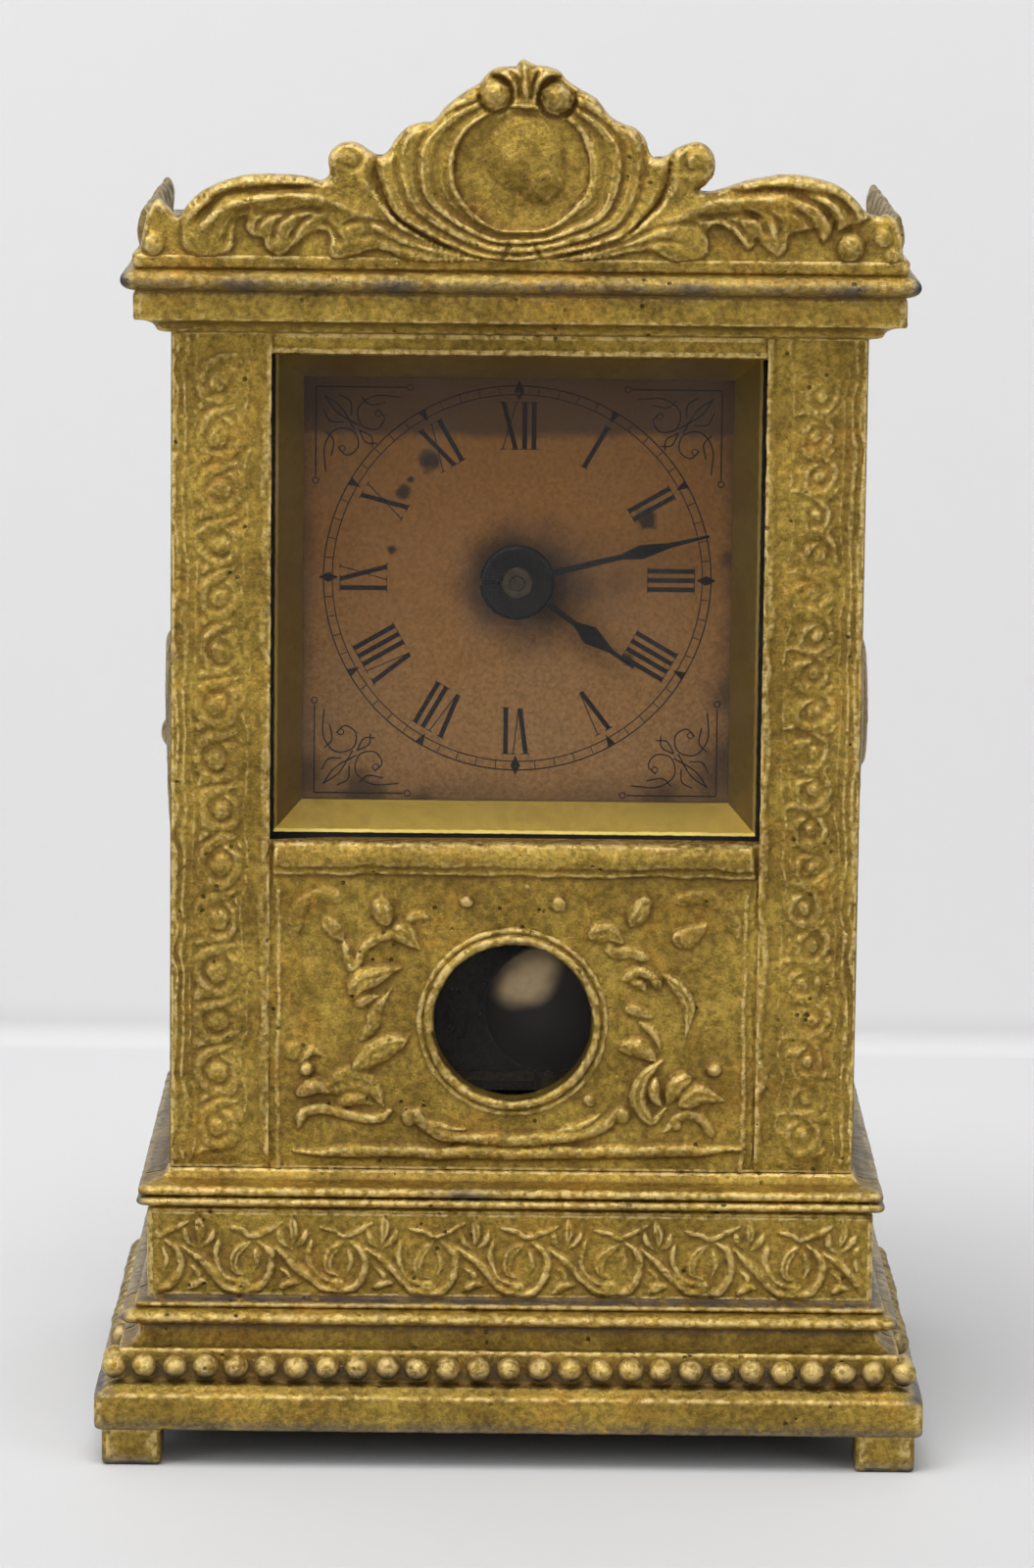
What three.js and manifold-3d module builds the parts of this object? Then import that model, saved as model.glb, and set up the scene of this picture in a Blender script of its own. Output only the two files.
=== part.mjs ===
// Miniature pendulum clock in a cast-iron case with a gold-painted relief front.
// Millimetres, +Z up. The dial faces -Y and the origin is the middle of the footprint, on the table.
import * as THREE from 'three';
import { mergeVertices } from 'three/addons/utils/BufferGeometryUtils.js';
import Module from 'manifold-3d';

const wasm = await Module();
wasm.setup();

// Fits
const seat = 0.25; // gap left between two pieces that are screwed or pressed together
const running = 0.1; // radial clearance of a shaft in its hole
const sheet = 0.8; // brass and tin sheet of the covers
const sunk = 0.5; // how far a joined solid runs into the one that it stands on
const past = 1; // how far a cutting solid runs past the faces that it cuts

// Case body: the plain upright box between the base and the cornice
const bodyWidth = 62;
const bodyDepth = 44.5;
const wall = 2.2;
const frontReturn = 2.6; // how far the front and back castings turn the corner

// Case mouldings: how far each one stands out from the body faces, and its height above the table
const plinthOut = 6.5;
const plinthBottom = 3.3;
const plinthTop = 6.9;
const plinthBevel = 0.6;
const beadSeatOut = 4.4;
const beadRadius = 1.15;
const beadHeight = 9;
const beadPitch = 2.7;
const beadStandOff = 0.4; // from the wall behind the beads to their middles
const coveBottom = 10.3;
const coveTop = 12;
const coveOut = 2.6;
const torusOut = 4.2;
const torusHeight = 13.4;
const torusRadius = 0.9;
const friezeOut = 1.9;
const friezeBottom = 14.8;
const friezeTop = 22.9;
const waistOut = 2.9;
const waistHeight = 24.2;
const waistRadius = 1;
const bodyBottom = 26.5;
const bodyTop = 102.3;
const cymaOut = 1.2;
const fasciaOut = 3.2;
const fasciaBottom = 103.6;
const fasciaTop = 105.9;
const corniceOut = 4.35;
const corniceHeight = 107.2;
const corniceRadius = 0.95;
const ledgeOut = 3.3;
const caseTop = 109.6;
const fillet = 0.3; // narrow flat step between two mouldings

// Feet, one cast under each corner of the plinth
const footWidth = 5.4;
const footInset = 0.7;
const footTaper = 0.3; // chamfer round the sole

// Crest on the front casting, and the low galleries along the sides
const crestHeight = 126.8;
const crestInset = 0.7; // from the end of the ledge in to the end of the crest
const crestSetback = 0.25; // from the front of the ledge back to the crest's face
const crestThickness = 2.2;
const leafRelief = 0.6;
const lobeRadius = 0.85;
const fanRadius = 0.7;
const knobRadius = 1.8;
const cartoucheRim = 1.1;
const cartoucheRelief = 0.9;
const curlRadius = 1.15;
const endBallRadius = 1.05;
const galleryHeight = 3.6;
const galleryThickness = 1.3;
const galleryInset = 0.9;
const galleryLobes = 7;

// Front casting: pilasters, dial opening, rail and round window
const pilasterWidth = 8.4;
const pilasterRelief = 0.5;
const pilasterFillet = 1.1; // width of the raised strip at the inner edge
const reedRadius = 0.55;
const bossPitch = 4.7;
const bossHalfWidth = 1.45;
const bossHalfHeight = 2;
const bossRelief = 0.7;
const dialOpeningMargin = 0.7; // from a pilaster to the side of the dial opening
const dialOpeningBottom = 56.7;
const dialOpeningTop = 100.3;
const dialRim = 0.5;
const railHeight = 2.7;
const railRelief = 0.9;
const windowHeight = 40.1;
const windowRadius = 7.16;
const windowRimWidth = 1.5;
const windowRimRelief = 0.8;
const windowSides = 24;

// Raised ornament on each side casting
const sideReliefHeight = 64;
const sideReliefHalfHeight = 14;
const sideReliefHalfDepth = 12;
const sideRelief = 1.3;

// Glass, bezel and dial, each behind the one before
const glassThickness = 1.2;
const glassLap = 1.1; // how far the glass runs on past each side of the dial opening
const glassBottom = 33.3;
const glassTop = 101.4;
const bezelDepth = 3.4;
const bezelBevel = 2.5;
const bezelFlange = 1.2;
const bezelLip = 0.4; // flat edge left round the dial behind the slopes
const paperThickness = 0.25;
const dialPlateSideRoom = 1.2; // from the dial plate to the inside of each side casting
const dialPlateBottom = 53.6;
const dialPlateTop = 102;
const dialScrewInset = 1.6; // from the side of the dial plate to its screws
const dialScrewLow = 58;
const dialScrewHigh = 98.5;
const dialBossRadius = 1.6;
const ribWidth = 1; // ribs behind the front casting, beside the foot of the glass
const ribLength = 8;

// Movement: two brass plates held apart by four pillars
const centreX = 0;
const centreZ = 79.5;
const frontPlateDepth = 23; // from the front of the plinth to the front of the front plate
const plateThickness = 1;
const plateGap = 14;
const plateHalfWidth = 22;
const plateBottom = 52.4;
const plateTop = 100.6;
const plateCorner = 2.5;
const pillarX = 19.5;
const pillarLow = 55;
const pillarHigh = 98;
const pillarRadius = 1.5;
const pillarTenon = 0.9;
const pillarSides = 6;
const pillarRivet = 0.4; // what stands out behind the back plate

// Going train: teeth and modules, from the barrel to the escape wheel
const barrelTeeth = 60;
const centrePinionTeeth = 10;
const barrelModule = 0.4;
const centreWheelTeeth = 48;
const thirdPinionTeeth = 6;
const centreModule = 0.34;
const thirdWheelTeeth = 48;
const fourthPinionTeeth = 6;
const thirdModule = 0.3;
const fourthWheelTeeth = 24;
const escapePinionTeeth = 6;
const fourthModule = 0.3;
const escapeTeeth = 30;
const escapeRadius = 5.5;
const escapeTooth = 1; // height of an escape tooth
const wheelThickness = 0.8;
const wheelRim = 2.2; // width of the rim inside the teeth, in modules
const wheelHub = 1.1; // width of the hub round the bore
const wheelArm = 0.55; // half the width of an arm
const arborRadius = 0.7;
const pivotRadius = 0.45;
const centreArborRadius = 0.65;
const sleeveRadius = 1.3;
const barrelAngle = THREE.MathUtils.degToRad(230); // direction from the centre arbor to the barrel
const fourthAngle = THREE.MathUtils.degToRad(-15); // direction from the escape arbor to the fourth arbor
const drumRadius = 10.6;
const drumWall = 0.6;
const drumLength = 6.9;
const windingArborRadius = 1.2;
const barrelPivotRadius = 0.8;
const springThickness = 0.5;
const springTurns = 6;
const springSteps = 10; // straight stretches in one turn
const leafOverhang = 1; // how far a pinion's leaves run on past the wheel they mesh with

// Room behind the front plate for the barrel, the escape pinion and the wheels, and before the back plate
const barrelRoom = 1.2;
const barrelGearThickness = 1.4;
const escapePinionRoom = 2.6;
const fourthWheelRoom = 3.6;
const thirdWheelRoom = 7;
const centreWheelRoom = 2;

// Motion work behind the dial: it drives the hour hand at a twelfth of the minute hand's rate
const cannonTeeth = 12;
const minuteWheelTeeth = 36;
const cannonModule = 0.3125;
const minutePinionTeeth = 10;
const hourWheelTeeth = 40;
const hourModule = 0.3;
const minuteStudAngle = THREE.MathUtils.degToRad(135);
const cannonPipeRadius = 1.45;
const hourPipeRadius = 2.2;
const studRadius = 0.7;
const studTenon = 0.55;
const motionWheelGap = 0.45; // between the hour wheel and the minute wheel
const cannonGrooveDepth = 0.3;
const cannonNose = 0.45; // what stands out before the hand washer
const cannonChamfer = 0.15;

// Hands, set to the time in the photograph
const handThickness = 0.35;
const handClearance = 1.3; // from the paper to the front of the hour hand
const handHub = 1; // width of the eye round the bore of a hand
const handStem = 0.22; // half the width of a hand's stem
const minuteHandAngle = 76; // degrees clockwise from twelve
const minuteHandLength = 17.8;
const minuteSpadeStart = 9.6;
const minuteSpadeEnd = 14.2;
const minuteSpadeWidth = 1.3;
const hourHandAngle = 126.5;
const hourHandLength = 13.2;
const hourSpadeStart = 6.6;
const hourSpadeEnd = 10.6;
const hourSpadeWidth = 1.8;
const washerRadius = 3.45;
const washerThickness = 0.65;
const washerSlot = 0.5;
const washerGap = 0.15; // between the minute hand and the washer

// Escapement and pendulum, hung on one stud in front of the front plate
const pendulumX = 3.4;
const pendulumTop = 97;
const escapeDrop = 8; // from the stud down to the escape wheel's arbor
const swing = THREE.MathUtils.degToRad(4);
const palletGap = 0.15; // what is left between a pallet and the wheel at the end of a swing
const vergeThickness = 0.7;
const vergeStrip = 0.9;
const crutchLength = 11.4;
const crutchWidth = 0.8;
const crutchThickness = 0.4;
const forkLength = 1;
const forkRoom = 0.3; // between the rod and each tine of the crutch's fork
const forkTine = 0.4;
const escapeRoom = 0.9; // between the front plate and the escape wheel
const eyeGap = 0.35; // between the crutch and the eye of the pendulum rod
const eyeThickness = 0.8;
const eyeWidth = 1;
const studHead = 0.45;
const rodRadius = 0.5;
const bobCentreZ = 38.6;
const bobRadius = 6;
const bobThickness = 2.6;
const nutRadius = 1.3;
const nutLength = 1.3;
const rodTail = 1.2;

// Winding and setting at the back
const ratchetTeeth = 16;
const ratchetRadius = 4.6;
const ratchetDepth = 0.9;
const clickAngle = THREE.MathUtils.degToRad(110); // direction from the winding arbor to the click's screw
const clickReach = THREE.MathUtils.degToRad(45); // from the click's screw round to its tip
const clickDistance = 7.6;
const clickTipGap = 0.4;
const clickRadius = 1.3;
const clickSpringGap = 0.4;
const springPostReach = THREE.MathUtils.degToRad(30); // from the click's tip round to the spring's post
const springPostRoom = 6; // from the ratchet's teeth out to the spring's post
const springWire = 0.35;
const keyHalfWidth = 8;
const keyHub = 2.3;
const keyThickness = 1.3;
const keyWingHeight = 3.3;
const keyLength = 4.6;
const keyCap = 1; // thickness of the key and of the knob behind their arbors' ends
const windingShoulder = 0.3; // step of the winding arbor at the back plate
const keyGap = 0.35; // from the back cover to the key and the setting knob
const knobDiskRadius = 3.6;
const knobDiskThickness = 3;
const knobNotches = 14;
const knobNotchDepth = 0.25;
const knobHubLength = 0.8;

// Back casting, cover and fasteners
const backOpeningMargin = 8.7; // from the side of the case to the side of the opening
const backOpeningBottom = 40;
const backOpeningTop = 98;
const coverMargin = 4;
const coverHoleRoom = 0.5; // round the arbors that pass through the cover
const screwRadius = 0.6;
const screwHead = 1.3;
const screwHeadHeight = 0.7;
const boltRadius = 0.8;
const boltHead = 1.05;
const boltHeadHeight = 1.2;
const boltTopZ = (fasciaBottom + fasciaTop) / 2;
const boltBottomZ = 19;
const boltInset = 4.2; // from the side of the case to a tie bolt
const boltBossRadius = 1.9;
const bossLength = 4;
const topPlateRebate = 0.9;

// Places worked out from the sizes above
const halfWidth = bodyWidth / 2;
const halfDepth = bodyDepth / 2;
const pilasterInner = halfWidth - pilasterWidth;
const halfOpening = pilasterInner - dialOpeningMargin;
const glassHalfWidth = halfOpening + glassLap;
const dialPlateHalfWidth = halfWidth - wall - dialPlateSideRoom;
const dialScrewX = dialPlateHalfWidth - dialScrewInset;
const boltX = halfWidth - boltInset;
const backOpeningHalfWidth = halfWidth - backOpeningMargin;
const crestHalfWidth = halfWidth + ledgeOut - crestInset;
const crestRise = crestHeight - caseTop;
const plinthFront = -halfDepth - plinthOut;
const behind = depth => plinthFront + depth; // y of a point so far behind the front of the plinth
const panelFront = -halfDepth;
const panelBack = panelFront + wall;
const glassFront = panelBack + seat;
const bezelFront = glassFront + glassThickness + seat;
const paperFront = bezelFront + bezelDepth + seat;
const dialPlateFront = paperFront + paperThickness + seat;
const dialPlateBack = dialPlateFront + sheet;
const frontPlateFront = behind(frontPlateDepth);
const frontPlateBack = frontPlateFront + plateThickness;
const backPlateFront = frontPlateBack + plateGap;
const backPlateBack = backPlateFront + plateThickness;
const coverFront = halfDepth + seat;
const coverBack = coverFront + sheet;

// Materials
const finish = (color, roughness, metalness) => (
  new THREE.MeshStandardMaterial({ color, roughness, metalness })
);
const goldPaint = finish('#9a8136', 0.5, 0.65);
const brass = finish('#a8924a', 0.35, 0.9);
const darkBrass = finish('#7d6a35', 0.45, 0.85);
const tin = finish('#8b8a80', 0.5, 0.8);
const steel = finish('#7c7e80', 0.4, 0.9);
const bluedSteel = finish('#23252b', 0.35, 0.8);
const nickel = finish('#b9b7ac', 0.2, 1);
const paper = finish('#8a5f35', 0.9, 0);
const glassFinish = new THREE.MeshStandardMaterial({
  color: '#dfe6e4', roughness: 0.05, metalness: 0, transparent: true, opacity: 0.25,
});

// Solids: a closed three.js geometry becomes a solid that can be joined and cut
function solid(geometry) {
  const plain = geometry.clone();
  plain.deleteAttribute('normal');
  plain.deleteAttribute('uv');
  const merged = mergeVertices(plain, 1e-4);
  return new wasm.Manifold(new wasm.Mesh({
    numProp: 3,
    vertProperties: Float32Array.from(merged.attributes.position.array),
    triVerts: Uint32Array.from(merged.index.array),
  }));
}

const join = (...solids) => wasm.Manifold.union(solids);

function cut(body, ...tools) {
  return body.subtract(join(...tools));
}

function box(xMin, xMax, yMin, yMax, zMin, zMax) {
  const geometry = new THREE.BoxGeometry(xMax - xMin, yMax - yMin, zMax - zMin);
  geometry.translate((xMin + xMax) / 2, (yMin + yMax) / 2, (zMin + zMax) / 2);
  return solid(geometry);
}

// An outline drawn in the plane of the dial, x across and z up, made solid from one depth to another
function plateOf(shape, yFront, yBack, curveSegments = 6) {
  const depth = yBack - yFront;
  const geometry = new THREE.ExtrudeGeometry(shape, { depth, bevelEnabled: false, curveSegments });
  geometry.rotateX(Math.PI / 2);
  geometry.translate(0, yBack, 0);
  return solid(geometry);
}

// Small round pieces get fewer sides than large ones
function sidesFor(radius) {
  if (radius < 0.6) return 6;
  if (radius < 1.35) return 8;
  return radius < 3 ? 12 : 20;
}

// A turned piece on an axis from front to back; the profile holds radius and depth pairs
function turned(profile, x, z, sides = sidesFor(Math.max(...profile.map(([radius]) => radius)))) {
  const points = profile.map(([radius, y]) => new THREE.Vector2(radius, y));
  const geometry = new THREE.LatheGeometry(points, sides);
  geometry.translate(x, 0, z);
  return solid(geometry);
}

function pin(radius, yFront, yBack, x, z, sides = sidesFor(radius)) {
  return turned([[0, yFront], [radius, yFront], [radius, yBack], [0, yBack]], x, z, sides);
}

function tube(outer, inner, yFront, yBack, x, z, sides = sidesFor(outer)) {
  const profile = [[inner, yFront], [outer, yFront], [outer, yBack], [inner, yBack], [inner, yFront]];
  return turned(profile, x, z, sides);
}

// A half-round moulding seen in profile, as offset and height pairs from its lower edge to its upper edge
function torusArc(baseOut, peakOut, height, radius, steps = 4) {
  return Array.from({ length: steps + 1 }, (_, i) => {
    const angle = -Math.PI / 2 + Math.PI * i / steps;
    return [baseOut + (peakOut - baseOut) * Math.cos(angle), height + radius * Math.sin(angle)];
  });
}

// A hollow moulding, curving in from its lower edge to its upper edge
function coveArc(lowOut, lowZ, highOut, highZ, steps = 3) {
  return Array.from({ length: steps + 1 }, (_, i) => {
    const angle = Math.PI / 2 * i / steps;
    return [lowOut + (highOut - lowOut) * Math.sin(angle), highZ - (highZ - lowZ) * Math.cos(angle)];
  });
}

// A hollow moulding that goes up first and then spreads out
function cavettoArc(lowOut, lowZ, highOut, highZ, steps = 3) {
  return Array.from({ length: steps + 1 }, (_, i) => {
    const angle = Math.PI / 2 * i / steps;
    return [highOut - (highOut - lowOut) * Math.cos(angle), lowZ + (highZ - lowZ) * Math.sin(angle)];
  });
}

// A profile of depth and height pairs run across the clock from one x to another
function bar(shape, xMin, xMax, curveSegments = 4) {
  const depth = xMax - xMin;
  const geometry = new THREE.ExtrudeGeometry(shape, { depth, bevelEnabled: false, curveSegments });
  const across = new THREE.Vector3(1, 0, 0);
  const back = new THREE.Vector3(0, 1, 0);
  const up = new THREE.Vector3(0, 0, 1);
  geometry.applyMatrix4(new THREE.Matrix4().makeBasis(back, up, across));
  geometry.translate(xMin, 0, 0);
  return solid(geometry);
}

function uprightRod(radius, x, y, zLow, zHigh, sides = sidesFor(radius)) {
  const geometry = new THREE.CylinderGeometry(radius, radius, zHigh - zLow, sides);
  geometry.rotateX(Math.PI / 2);
  geometry.translate(x, y, (zLow + zHigh) / 2);
  return solid(geometry);
}

// Rectangles stacked along a moulding profile and joined, with mitred corners
function mouldedBox(profile, halfX, halfY) {
  const positions = [];
  const faces = [];
  profile.forEach(([out, z], i) => {
    const x = halfX + out;
    const y = halfY + out;
    positions.push(x, -y, z, x, y, z, -x, y, z, -x, -y, z);
    if (i === 0) return;
    for (let side = 0; side < 4; side += 1) {
      const next = (side + 1) % 4;
      const low = 4 * (i - 1);
      const high = 4 * i;
      faces.push(low + side, low + next, high + next, low + side, high + next, high + side);
    }
  });
  const top = 4 * (profile.length - 1);
  faces.push(0, 2, 1, 0, 3, 2, top, top + 1, top + 2, top, top + 2, top + 3);
  const geometry = new THREE.BufferGeometry();
  geometry.setAttribute('position', new THREE.Float32BufferAttribute(positions, 3));
  geometry.setIndex(faces);
  return solid(geometry);
}

const group = new THREE.Group();

function add(name, body, material) {
  const mesh = body.getMesh();
  const geometry = new THREE.BufferGeometry();
  geometry.setAttribute('position', new THREE.BufferAttribute(mesh.vertProperties, 3));
  geometry.setIndex(new THREE.BufferAttribute(mesh.triVerts, 1));
  geometry.computeVertexNormals();
  const piece = new THREE.Mesh(geometry, material);
  piece.name = name;
  group.add(piece);
}

// Case shell: the outer mouldings run round all four sides, and the inside follows them one wall in
function caseShell() {
  const outside = [
    [plinthOut, plinthBottom],
    [plinthOut, plinthTop],
    [plinthOut - plinthBevel, plinthTop + plinthBevel],
    [beadSeatOut, plinthTop + plinthBevel],
    [beadSeatOut, coveBottom],
    ...coveArc(beadSeatOut - fillet, coveBottom, coveOut, coveTop),
    ...torusArc(coveOut, torusOut, torusHeight, torusRadius),
    [friezeOut + fillet, torusHeight + torusRadius],
    [friezeOut, friezeBottom],
    [friezeOut, friezeTop],
    ...torusArc(friezeOut - fillet, waistOut, waistHeight, waistRadius),
    [2 * fillet, waistHeight + waistRadius + fillet],
    [0, bodyBottom],
    [0, bodyTop],
    ...cavettoArc(cymaOut, bodyTop + fillet, fasciaOut, fasciaBottom),
    [fasciaOut, fasciaTop],
    ...torusArc(fasciaOut - fillet, corniceOut, corniceHeight, corniceRadius),
    [ledgeOut, corniceHeight + corniceRadius + fillet],
    [ledgeOut, caseTop],
  ];
  const inside = [
    [plinthOut - wall, 0],
    [plinthOut - wall, plinthBottom + wall],
    [friezeOut - wall, coveTop],
    [friezeOut - wall, friezeTop],
    [-wall, bodyBottom],
    [-wall, caseTop + past],
  ];
  const shell = mouldedBox(outside, halfWidth, halfDepth).subtract(mouldedBox(inside, halfWidth, halfDepth));
  const rebateX = halfWidth + topPlateRebate;
  const rebateY = halfDepth + topPlateRebate;
  const rebate = box(-rebateX, rebateX, -rebateY, rebateY, caseTop - sheet - seat, caseTop + past);
  return join(cut(shell, rebate), ...beadRows(), ...feet());
}

// Round beads along the base, set out evenly from corner to corner on the front and the sides
function beadRows() {
  const beads = [];
  const lineX = halfWidth + beadSeatOut + beadStandOff;
  const lineY = halfDepth + beadSeatOut + beadStandOff;
  const countX = Math.round(2 * lineX / beadPitch);
  const countY = Math.round(2 * lineY / beadPitch);
  for (let i = 0; i <= countX; i += 1) {
    beads.push(bead(-lineX + 2 * lineX * i / countX, -lineY, 0));
  }
  for (let i = 1; i <= countY; i += 1) {
    const y = -lineY + 2 * lineY * i / countY;
    beads.push(bead(-lineX, y, Math.PI / 2), bead(lineX, y, Math.PI / 2));
  }
  return beads;
}

function bead(x, y, turn) {
  const geometry = new THREE.SphereGeometry(beadRadius, 6, 3);
  geometry.rotateZ(turn);
  geometry.translate(x, y, beadHeight);
  return solid(geometry);
}

function feet() {
  const lugs = [];
  const reach = plinthOut - footInset - footWidth / 2;
  for (const sideX of [-1, 1]) {
    for (const sideY of [-1, 1]) {
      const profile = [[-footTaper, 0], [0, footTaper], [0, plinthBottom + wall]];
      const foot = mouldedBox(profile, footWidth / 2, footWidth / 2);
      lugs.push(foot.translate([sideX * (halfWidth + reach), sideY * (halfDepth + reach), 0]));
    }
  }
  return lugs;
}

// Places on the crest are shares of its half width, from the middle, and of its rise above the case
const crestAt = (across, up) => [crestHalfWidth * across, caseTop + crestRise * up];
const crestVector = ([across, up]) => new THREE.Vector2(...crestAt(across, up));
const crestFace = -halfDepth - ledgeOut + crestSetback;
const [knobX, knobZ] = crestAt(0.45, 0.48);
const [curlX, curlZ] = crestAt(0.08, 0.82);
const [endBallX, endBallZ] = crestAt(0.86, 0.055);
const [cartoucheHalfWidth, cartoucheZ] = crestAt(0.17, 0.43);
const cartoucheHalfHeight = crestRise * 0.36;

// Right half of the crest's outline, from its foot up to the middle of the top
function crestHalf() {
  const foot = [
    [1, -0.06], [1, 0.163], [0.979, 0.209], [0.935, 0.18], [0.905, 0.221],
    [0.845, 0.337], [0.75, 0.407], [0.643, 0.419], [0.554, 0.384], [0.488, 0.36],
  ];
  const shoulder = [
    [0.363, 0.517], [0.327, 0.593], [0.28, 0.657], [0.235, 0.692], [0.205, 0.756],
    [0.161, 0.843], [0.113, 0.913], [0.071, 0.959], [0.033, 0.965], [0, 1],
  ];
  const knob = [-25, 15, 55, 95, 135].map(degrees => {
    const angle = THREE.MathUtils.degToRad(degrees);
    return new THREE.Vector2(knobX + knobRadius * Math.cos(angle), knobZ + knobRadius * Math.sin(angle));
  });
  return [...foot.map(crestVector), ...knob, ...shoulder.map(crestVector)];
}

function crestOutline() {
  const right = crestHalf();
  const left = right.slice(0, -1).reverse().map(({ x, y }) => new THREE.Vector2(-x, y));
  return new THREE.Shape([...right, ...left]);
}

// A rounded rib that lies half sunk in the crest's face, from its root to its tip
function crestRib(rootPlace, tipPlace, rootRadius, tipRadius) {
  const root = crestVector(rootPlace);
  const along = crestVector(tipPlace).sub(root);
  const geometry = new THREE.CylinderGeometry(tipRadius, rootRadius, along.length(), 6);
  geometry.translate(0, along.length() / 2, 0);
  geometry.rotateX(Math.PI / 2);
  geometry.rotateY(Math.PI / 2 - along.angle());
  geometry.translate(root.x, crestFace, root.y);
  return solid(geometry);
}

// The right-hand acanthus leaf: a stem that arches out from the middle, and lobes that hang from it
function crestLeaf() {
  const back = [[0.09, 0.03], [0.2, 0.11], [0.32, 0.21], [0.45, 0.3], [0.58, 0.35], [0.7, 0.36], [0.8, 0.3]];
  const belly = [[0.83, 0.18], [0.75, 0.27], [0.69, 0.3], [0.58, 0.29], [0.45, 0.23], [0.32, 0.13]];
  const lobes = [
    [[0.3, 0.15], [0.49, 0.08]],
    [[0.39, 0.21], [0.595, 0.04]],
    [[0.49, 0.26], [0.67, 0.06]],
    [[0.595, 0.31], [0.75, 0.13]],
    [[0.7, 0.32], [0.82, 0.1]],
  ];
  const stem = new THREE.Shape([...back, ...belly].map(crestVector));
  return join(
    plateOf(stem, crestFace - leafRelief, crestFace + sunk),
    ...lobes.map(([root, tip]) => crestRib(root, tip, lobeRadius, lobeRadius / 2)),
  );
}

// Ribs that fan out from under the cartouche to the right-hand shoulder of the crest
function crestFan() {
  const tips = [[0.3, 0.3], [0.31, 0.43], [0.27, 0.55], [0.21, 0.66]];
  return tips.map(tip => crestRib([0.06, 0.06], tip, fanRadius / 2, fanRadius));
}

function ballAt(radius, x, z) {
  const geometry = new THREE.SphereGeometry(radius, 8, 4);
  geometry.translate(x, crestFace, z);
  return solid(geometry);
}

// Oval cartouche: a rounded rim and a low boss, drawn as a circle of radius 1 and then stretched
function cartouche() {
  const inner = 1 - cartoucheRim / cartoucheHalfWidth;
  const rim = turned([
    [inner, crestFace + sunk],
    [inner, crestFace - cartoucheRelief * 0.6],
    [(inner + 1) / 2, crestFace - cartoucheRelief],
    [1, crestFace - cartoucheRelief * 0.4],
    [1, crestFace + sunk],
    [inner, crestFace + sunk],
  ], 0, 0, 20);
  const boss = turned([
    [0, crestFace - cartoucheRelief],
    [0.3, crestFace - cartoucheRelief * 0.85],
    [0.46, crestFace - cartoucheRelief * 0.4],
    [0.5, crestFace + sunk],
    [0, crestFace + sunk],
  ], 0, 0, 12);
  return join(rim, boss).scale([cartoucheHalfWidth, 1, cartoucheHalfHeight]).translate([0, 0, cartoucheZ]);
}

function crest() {
  const half = join(
    crestLeaf(),
    ...crestFan(),
    ballAt(curlRadius, curlX, curlZ),
    ballAt(endBallRadius, endBallX, endBallZ),
    ballAt(knobRadius * 0.75, knobX, knobZ),
  );
  const slab = plateOf(crestOutline(), crestFace, crestFace + crestThickness);
  return join(slab, cartouche(), half, half.mirror([1, 0, 0]));
}

// Pilaster in plan: two reeds at the outer edge and a raised strip at the inner edge
function pilaster(side) {
  const outer = halfWidth;
  const inner = pilasterInner;
  const shape = new THREE.Shape();
  shape.moveTo(outer - fillet, sunk);
  for (let reed = 0; reed < 2; reed += 1) {
    const middle = outer - fillet - reedRadius - reed * 2.4 * reedRadius;
    shape.lineTo(middle + reedRadius, 0);
    shape.absarc(middle, 0, reedRadius, 0, -Math.PI, true);
  }
  shape.lineTo(inner + pilasterFillet + fillet, 0);
  shape.lineTo(inner + pilasterFillet, -pilasterRelief);
  shape.lineTo(inner + fillet, -pilasterRelief);
  shape.lineTo(inner, 0);
  shape.lineTo(inner, sunk);
  const depth = bodyTop - bodyBottom;
  const geometry = new THREE.ExtrudeGeometry(shape, { depth, bevelEnabled: false, curveSegments: 2 });
  geometry.translate(0, panelFront, bodyBottom);
  const strip = solid(geometry);
  return join(side > 0 ? strip : strip.mirror([1, 0, 0]), ...pilasterBosses(side));
}

// Chain of oval bosses down the middle of a pilaster
function pilasterBosses(side) {
  const bosses = [];
  const count = Math.floor((bodyTop - bodyBottom) / bossPitch);
  const first = (bodyBottom + bodyTop - (count - 1) * bossPitch) / 2;
  const middle = halfWidth - pilasterWidth / 2 - fillet;
  for (let i = 0; i < count; i += 1) {
    const geometry = new THREE.SphereGeometry(1, 6, 4);
    geometry.scale(bossHalfWidth, bossRelief, bossHalfHeight);
    geometry.translate(side * middle, panelFront, first + i * bossPitch);
    bosses.push(solid(geometry));
  }
  return bosses;
}

// Rail under the dial: a rounded moulding run across between the pilasters
function rail() {
  const top = dialOpeningBottom - dialRim;
  const shape = new THREE.Shape();
  shape.moveTo(panelFront + sunk, top);
  shape.lineTo(panelFront - railRelief * 0.6, top);
  shape.quadraticCurveTo(panelFront - railRelief * 1.4, top - railHeight / 2, panelFront, top - railHeight);
  shape.lineTo(panelFront + sunk, top - railHeight);
  const reach = halfOpening + dialRim;
  return bar(shape, -reach, reach);
}

const dialOpening = (yFront, yBack) => (
  box(-halfOpening, halfOpening, yFront, yBack, dialOpeningBottom, dialOpeningTop)
);

// Thin raised frame round the dial opening
function dialFrame() {
  const reach = halfOpening + dialRim;
  const low = dialOpeningBottom - dialRim;
  const high = dialOpeningTop + dialRim;
  const outer = box(-reach, reach, panelFront - dialRim / 2, panelFront + sunk, low, high);
  return cut(outer, dialOpening(panelFront - past, panelFront + past));
}

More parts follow.
